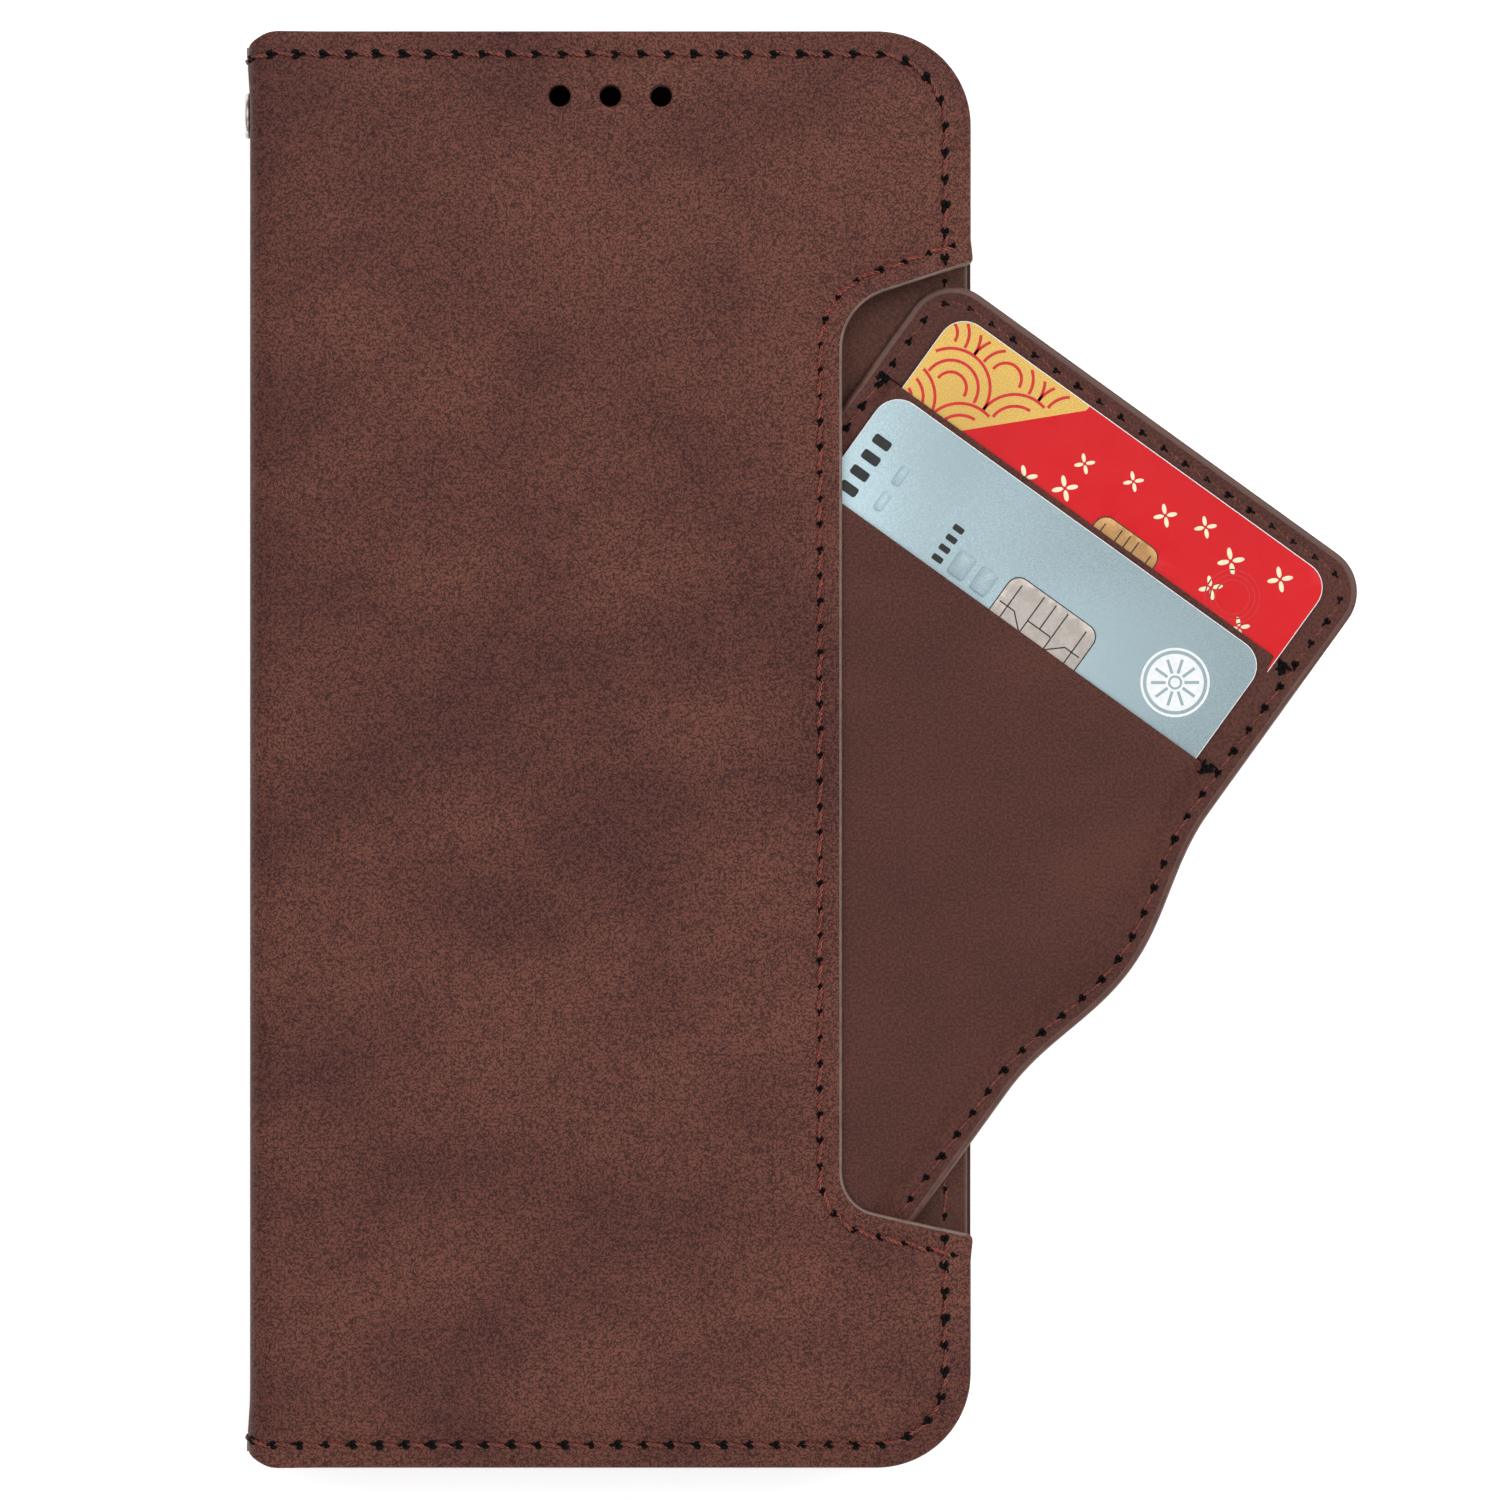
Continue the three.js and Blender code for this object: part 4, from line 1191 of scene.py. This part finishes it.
def red_and_gold_card():
    """The rear card: red with scattered flowers, and a gold corner with overlapping scales."""
    left, top_y = REAR_CARD_CORNER
    turn = left + 19.5  # where the gold corner's slanted edge meets the card's top edge
    diagonal = rounded([(turn, top_y - 0.2), (turn - 19, top_y - 19.2)], 0.8, False)

    def art(points):
        return np.where(points[:, 1] - top_y > points[:, 0] - turn, 2, 0)

    card_piece("rear_card", REAR_CARD_CORNER, REAR_CARD_Z, REAR_CHIP, [RED_CARD, CARD_CORE, GOLD_PRINT],
               art, "red_card", [diagonal])
    z = REAR_CARD_Z[1] + PRINT_RISE
    rows = [ribbon(line, 0.36, z) for line in wave_pattern(left, top_y, turn)]
    printed("rear_card_waves", rows, RED_INK, "rear_card", "red_card")

    chance = np.random.default_rng(11)
    petals = []
    for i in range(14):
        x = left + 17 + (i % 7) * 5.3 + chance.uniform(-0.8, 0.8)
        y = top_y - 3.8 - (i // 7) * 5.6 - (i % 2) * 1.6 + chance.uniform(-0.5, 0.5)
        by_chip = abs(x - left - 31.7) < 7.5 and y < top_y - 6.4
        if y - top_y > x - turn - 3.2 or by_chip or x > left + 50:
            continue
        size = chance.uniform(0.8, 1.3)
        petal = circle(0, 0, 1.0, 14) * (0.62 * size, 0.26 * size) + (0.8 * size, 0)
        for k in range(4):
            petals.append(patch_print(rotated(petal, math.pi / 2 * k + math.pi / 4) + (x, y), z))
    printed("rear_card_flowers", petals, CREAM_INK, "rear_card", "red_card")
    rings = [ribbon(circle(left + 45.5, top_y - 8.4, r, 40), 0.14, z, True) for r in (2.0, 2.6, 3.2)]
    printed("rear_card_rings", rings, RED_INK, "rear_card", "red_card")
    contact_plate("rear_card", REAR_CHIP, REAR_CARD_Z[1], GOLD_CONTACTS, "gold_contacts")


def bar(x0, x1, y0, y1, low, rise):
    """A raised blank bar with sloping sides."""
    base = rectangle(x0, y0, x1, y1, 0.4, 0.3)
    upper = shifted(base, 0.18)
    n = len(base)
    vertices = on_holder(np.concatenate([base, upper]), np.repeat([low, low + rise], n).astype(float))
    faces = [(i, (i + 1) % n, n + (i + 1) % n, n + i) for i in range(n)] + [tuple(range(n, 2 * n))]
    return vertices, faces


def blue_card():
    """The front card: pale speckled blue, with blank raised bars and a plain rosette."""
    left, top_y = FRONT_CARD_CORNER
    card_piece("front_card", FRONT_CARD_CORNER, FRONT_CARD_Z, FRONT_CHIP, [BLUE_CARD, CARD_CORE], None,
               "blue_card")
    z = FRONT_CARD_Z[1]
    first, second = z + PRINT_RISE, z + 2 * PRINT_RISE
    bars = [bar(left + 6.2, left + 7.4, y - 2.6, y, z - 0.02, 0.34) for y in (top_y - 6.4, top_y - 10.0)]
    bars += [bar(x, x + 2.3, top_y - 13.6, top_y - 10.4, z - 0.02, 0.36)
             for x in (left + 17.5, left + 20.7)]
    printed("front_card_raised_bars", bars, BLUE_CARD, "front_card", "blue_card")
    dashes = [patch_print(rectangle(left + 1.6, y - 1.2, left + 3.9, y, 0.3, 0.3), first)
              for y in top_y - np.array([5.2, 7.4, 9.6, 11.8])]
    dashes += [patch_print(rectangle(left + 15.2, y - 0.75, left + 16.6, y, 0.2, 0.3), first)
               for y in top_y - np.array([8.4, 9.8, 11.2, 12.6])]
    printed("front_card_dark_dashes", dashes, BLACK_INK, "front_card", "blue_card")
    x, y = left + 46.8, top_y - 8.5
    rosette = [ribbon(circle(x, y, 3.9, 48), 0.3, first, True), patch_print(circle(x, y, 3.35, 40), first)]
    printed("front_card_disc", rosette, WHITE_INK, "front_card", "blue_card")
    ray = np.array([[1.1, 0.0], [1.9, 0.0], [2.8, 0.0]])
    rays = [ribbon(rotated(ray, a) + (x, y), 0.34, second) for a in np.radians(np.arange(0, 360, 36))]
    rays.append(ribbon(circle(x, y, 0.7, 20), 0.25, second, True))
    printed("front_card_rays", rays, BLUE_CARD, "front_card", "blue_card")
    contact_plate("front_card", FRONT_CHIP, z, SILVER_CONTACTS, "silver_contacts")


# ---- eyelet, tacks and hidden parts

def turned(name, profile, steps, place, materials):
    """A ring turned from a closed profile of (radius, height) points."""
    angles = 2 * math.pi * np.arange(steps) / steps
    r, h = np.array(profile).T
    n = len(r)
    a, b = np.meshgrid(angles, np.arange(n), indexing="ij")
    vertices = place(r[b] * np.cos(a), r[b] * np.sin(a), h[b])
    faces = []
    for i in range(steps):
        here, ahead = i * n, (i + 1) % steps * n
        faces += [(here + j, ahead + j, ahead + (j + 1) % n, here + (j + 1) % n) for j in range(n)]
    return face_outwards(mesh_object(name, vertices.reshape(-1, 3), faces, materials))


def strap_eyelet():
    """A rolled nickel eyelet with its washer on the inside of the spine."""
    low, high = EYELET_X
    flange = SPINE_X - 0.02
    bore, shank, roll_r, edge_r = 1.5, 1.86, 0.42, 0.3
    roll = [(bore + roll_r * (1 - math.cos(a)), low + roll_r * (1 - math.sin(a)))
            for a in np.linspace(0, 1.4, 6)]
    outer = [(EYELET_R - edge_r * (1 - math.sin(a)), low + 0.34 - edge_r * math.cos(a))
             for a in np.linspace(0, 1.57, 5)]
    profile = [(bore, high), *roll, *outer, (EYELET_R, flange), (shank, flange), (shank, high)]
    beside = lambda y, z, x: np.stack([x, EYELET_Y + y, EYELET_Z + z], -1)
    made = turned("eyelet_ring", profile, 56, beside, [NICKEL])
    attach(made, "spine", "steel", "strap_eyelet")
    x0, x1 = span("eyelet_washer", "x")
    washer = turned("eyelet_back_washer", [(1.95, x0), (EYELET_R, x0), (EYELET_R, x1 - 0.12),
                    (EYELET_R - 0.12, x1), (2.07, x1), (1.95, x1 - 0.12)], 48, beside, [NICKEL])
    attach(washer, "spine", "steel", "eyelet_washer")


def bar_tacks():
    """Dense bars of black thread across each end of the two slits."""
    spots = [(25.7, SLITS[0]), (-31.7, SLITS[0]), (25.1, SLITS[1]), (-30.8, SLITS[1])]
    chance = np.random.default_rng(5)
    for number, (x, y) in enumerate(spots, 1):
        parts = []
        ball_points, ball_faces = ball(6, 8)
        for i in range(14):
            a = chance.uniform(0, math.pi)
            spot = np.array([x, y - 0.35]) + chance.normal(0, 0.36, 2)
            long, wide = chance.uniform(0.5, 0.7), chance.uniform(0.14, 0.2)
            flat = spot + rotated(ball_points[:, :2] * (long, wide), a)
            height = holder_top(np.array([[x, y - 0.6]]))[0] + 0.06 + 0.05 * i / 3
            parts.append((on_holder(flat, height + ball_points[:, 2] * 0.13), ball_faces))
        made = mesh_object(f"bar_tack_thread_{number}", *joined(parts), [BLACK_THREAD])
        attach(made, "card_holder", "black_thread", f"bar_tack_{number}")


def finish_cad_nodes():
    """Materials and eased edges for the CAD nodes that no piece replaces, seen or inside."""
    boards = ["back_board", "spine_board", "front_board", "holder_board"]
    magnets = [f"{cover}_magnet_{end}" for cover in ("back", "front") for end in ("upper", "lower")]
    finishes = [(boards, GREYBOARD, 0.0), (["holder_divider"], CAD_LINING, 0.0),
                (["phone_shell"], TRAY_PLASTIC, 0.25), (["pivot_rivet", "rivet_washer"], CAD_STEEL, 0.08),
                (magnets, MAGNET_METAL, 0.08)]
    for nodes, material, ease in finishes:
        for node in nodes:
            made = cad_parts[node]
            made.data.materials.clear()
            made.data.materials.append(material)
            if ease:
                bevel = made.modifiers.new("eased_edges", "BEVEL")
                bevel.width = ease / PER_METRE
                bevel.segments = 3
                bevel.limit_method = "ANGLE"
                bevel.angle_limit = math.radians(50)
                bevel.harden_normals = True


# ---- camera, lights and floor

SENSOR = 36


def camera():
    """Looks straight down from far away."""
    data = bpy.data.cameras.new("camera")
    data.sensor_width = SENSOR
    distance, frame_width, centre = 2500.0, 174.7, (16.27, -0.06)
    data.lens = SENSOR * distance / frame_width
    data.clip_end = 20
    made = bpy.data.objects.new("camera", data)
    made.location = to_metres(*centre, distance + HOLDER_TOP_Z)
    bpy.context.scene.collection.objects.link(made)
    bpy.context.scene.camera = made


def soft_light(name, place, width, power):
    """A square light that points at the case."""
    data = bpy.data.lights.new(name, "AREA")
    data.shape = "RECTANGLE"
    data.size = width
    data.size_y = width
    data.energy = power
    made = bpy.data.objects.new(name, data)
    made.location = place
    made.rotation_euler = (-Vector(place)).to_track_quat("-Z", "Y").to_euler()
    bpy.context.scene.collection.objects.link(made)


def floor():
    """White paper that glows a little."""
    n = Nodes("floor_paper", "object")
    fibre = n.noise(0.8, 3.0, 0.6)
    n.finish(n.mix(fibre, (0.86, 0.86, 0.86, 1), (0.9, 0.9, 0.9, 1)), 0.9, None, Emission_Strength=0.62,
             Emission_Color=(1, 1, 1, 1), Specular_IOR_Level=0.1)
    mesh = bpy.data.meshes.new("floor")
    side, drop = 6.0, -0.0002
    corners = [(-side, -side, drop), (side, -side, drop), (side, side, drop), (-side, side, drop)]
    mesh.from_pydata(corners, [], [(0, 1, 2, 3)])
    mesh.materials.append(n.material)
    made = bpy.data.objects.new("floor", mesh)
    bpy.context.scene.collection.objects.link(made)


def studio():
    """A white room, three soft lights, the paper and the camera."""
    world = bpy.data.worlds.new("studio")
    world.use_nodes = True
    world.node_tree.nodes["Background"].inputs["Color"].default_value = (1, 1, 1, 1)
    world.node_tree.nodes["Background"].inputs["Strength"].default_value = 0.30
    bpy.context.scene.world = world
    soft_light("key", (0.6, 0.45, 1.0), 0.9, 8.0)
    soft_light("fill", (-0.45, 0.35, 1.1), 0.9, 4.2)
    soft_light("low", (0.1, -0.8, 1.0), 0.8, 3.0)
    bpy.context.scene.view_settings.view_transform = "Standard"
    floor()
    camera()


# ---- making the case

front_cover_leather()
back_cover_leather()
cover_lining()
tray_side_lining()
pocket_facing()
inner_pocket_panel("cash_pocket_panel")
for number in (1, 2, 3):
    inner_pocket_panel(f"card_slot_panel_{number}", notch=True)
card_holder()
red_and_gold_card()
blue_card()
strap_eyelet()
bar_tacks()
finish_cad_nodes()
studio()
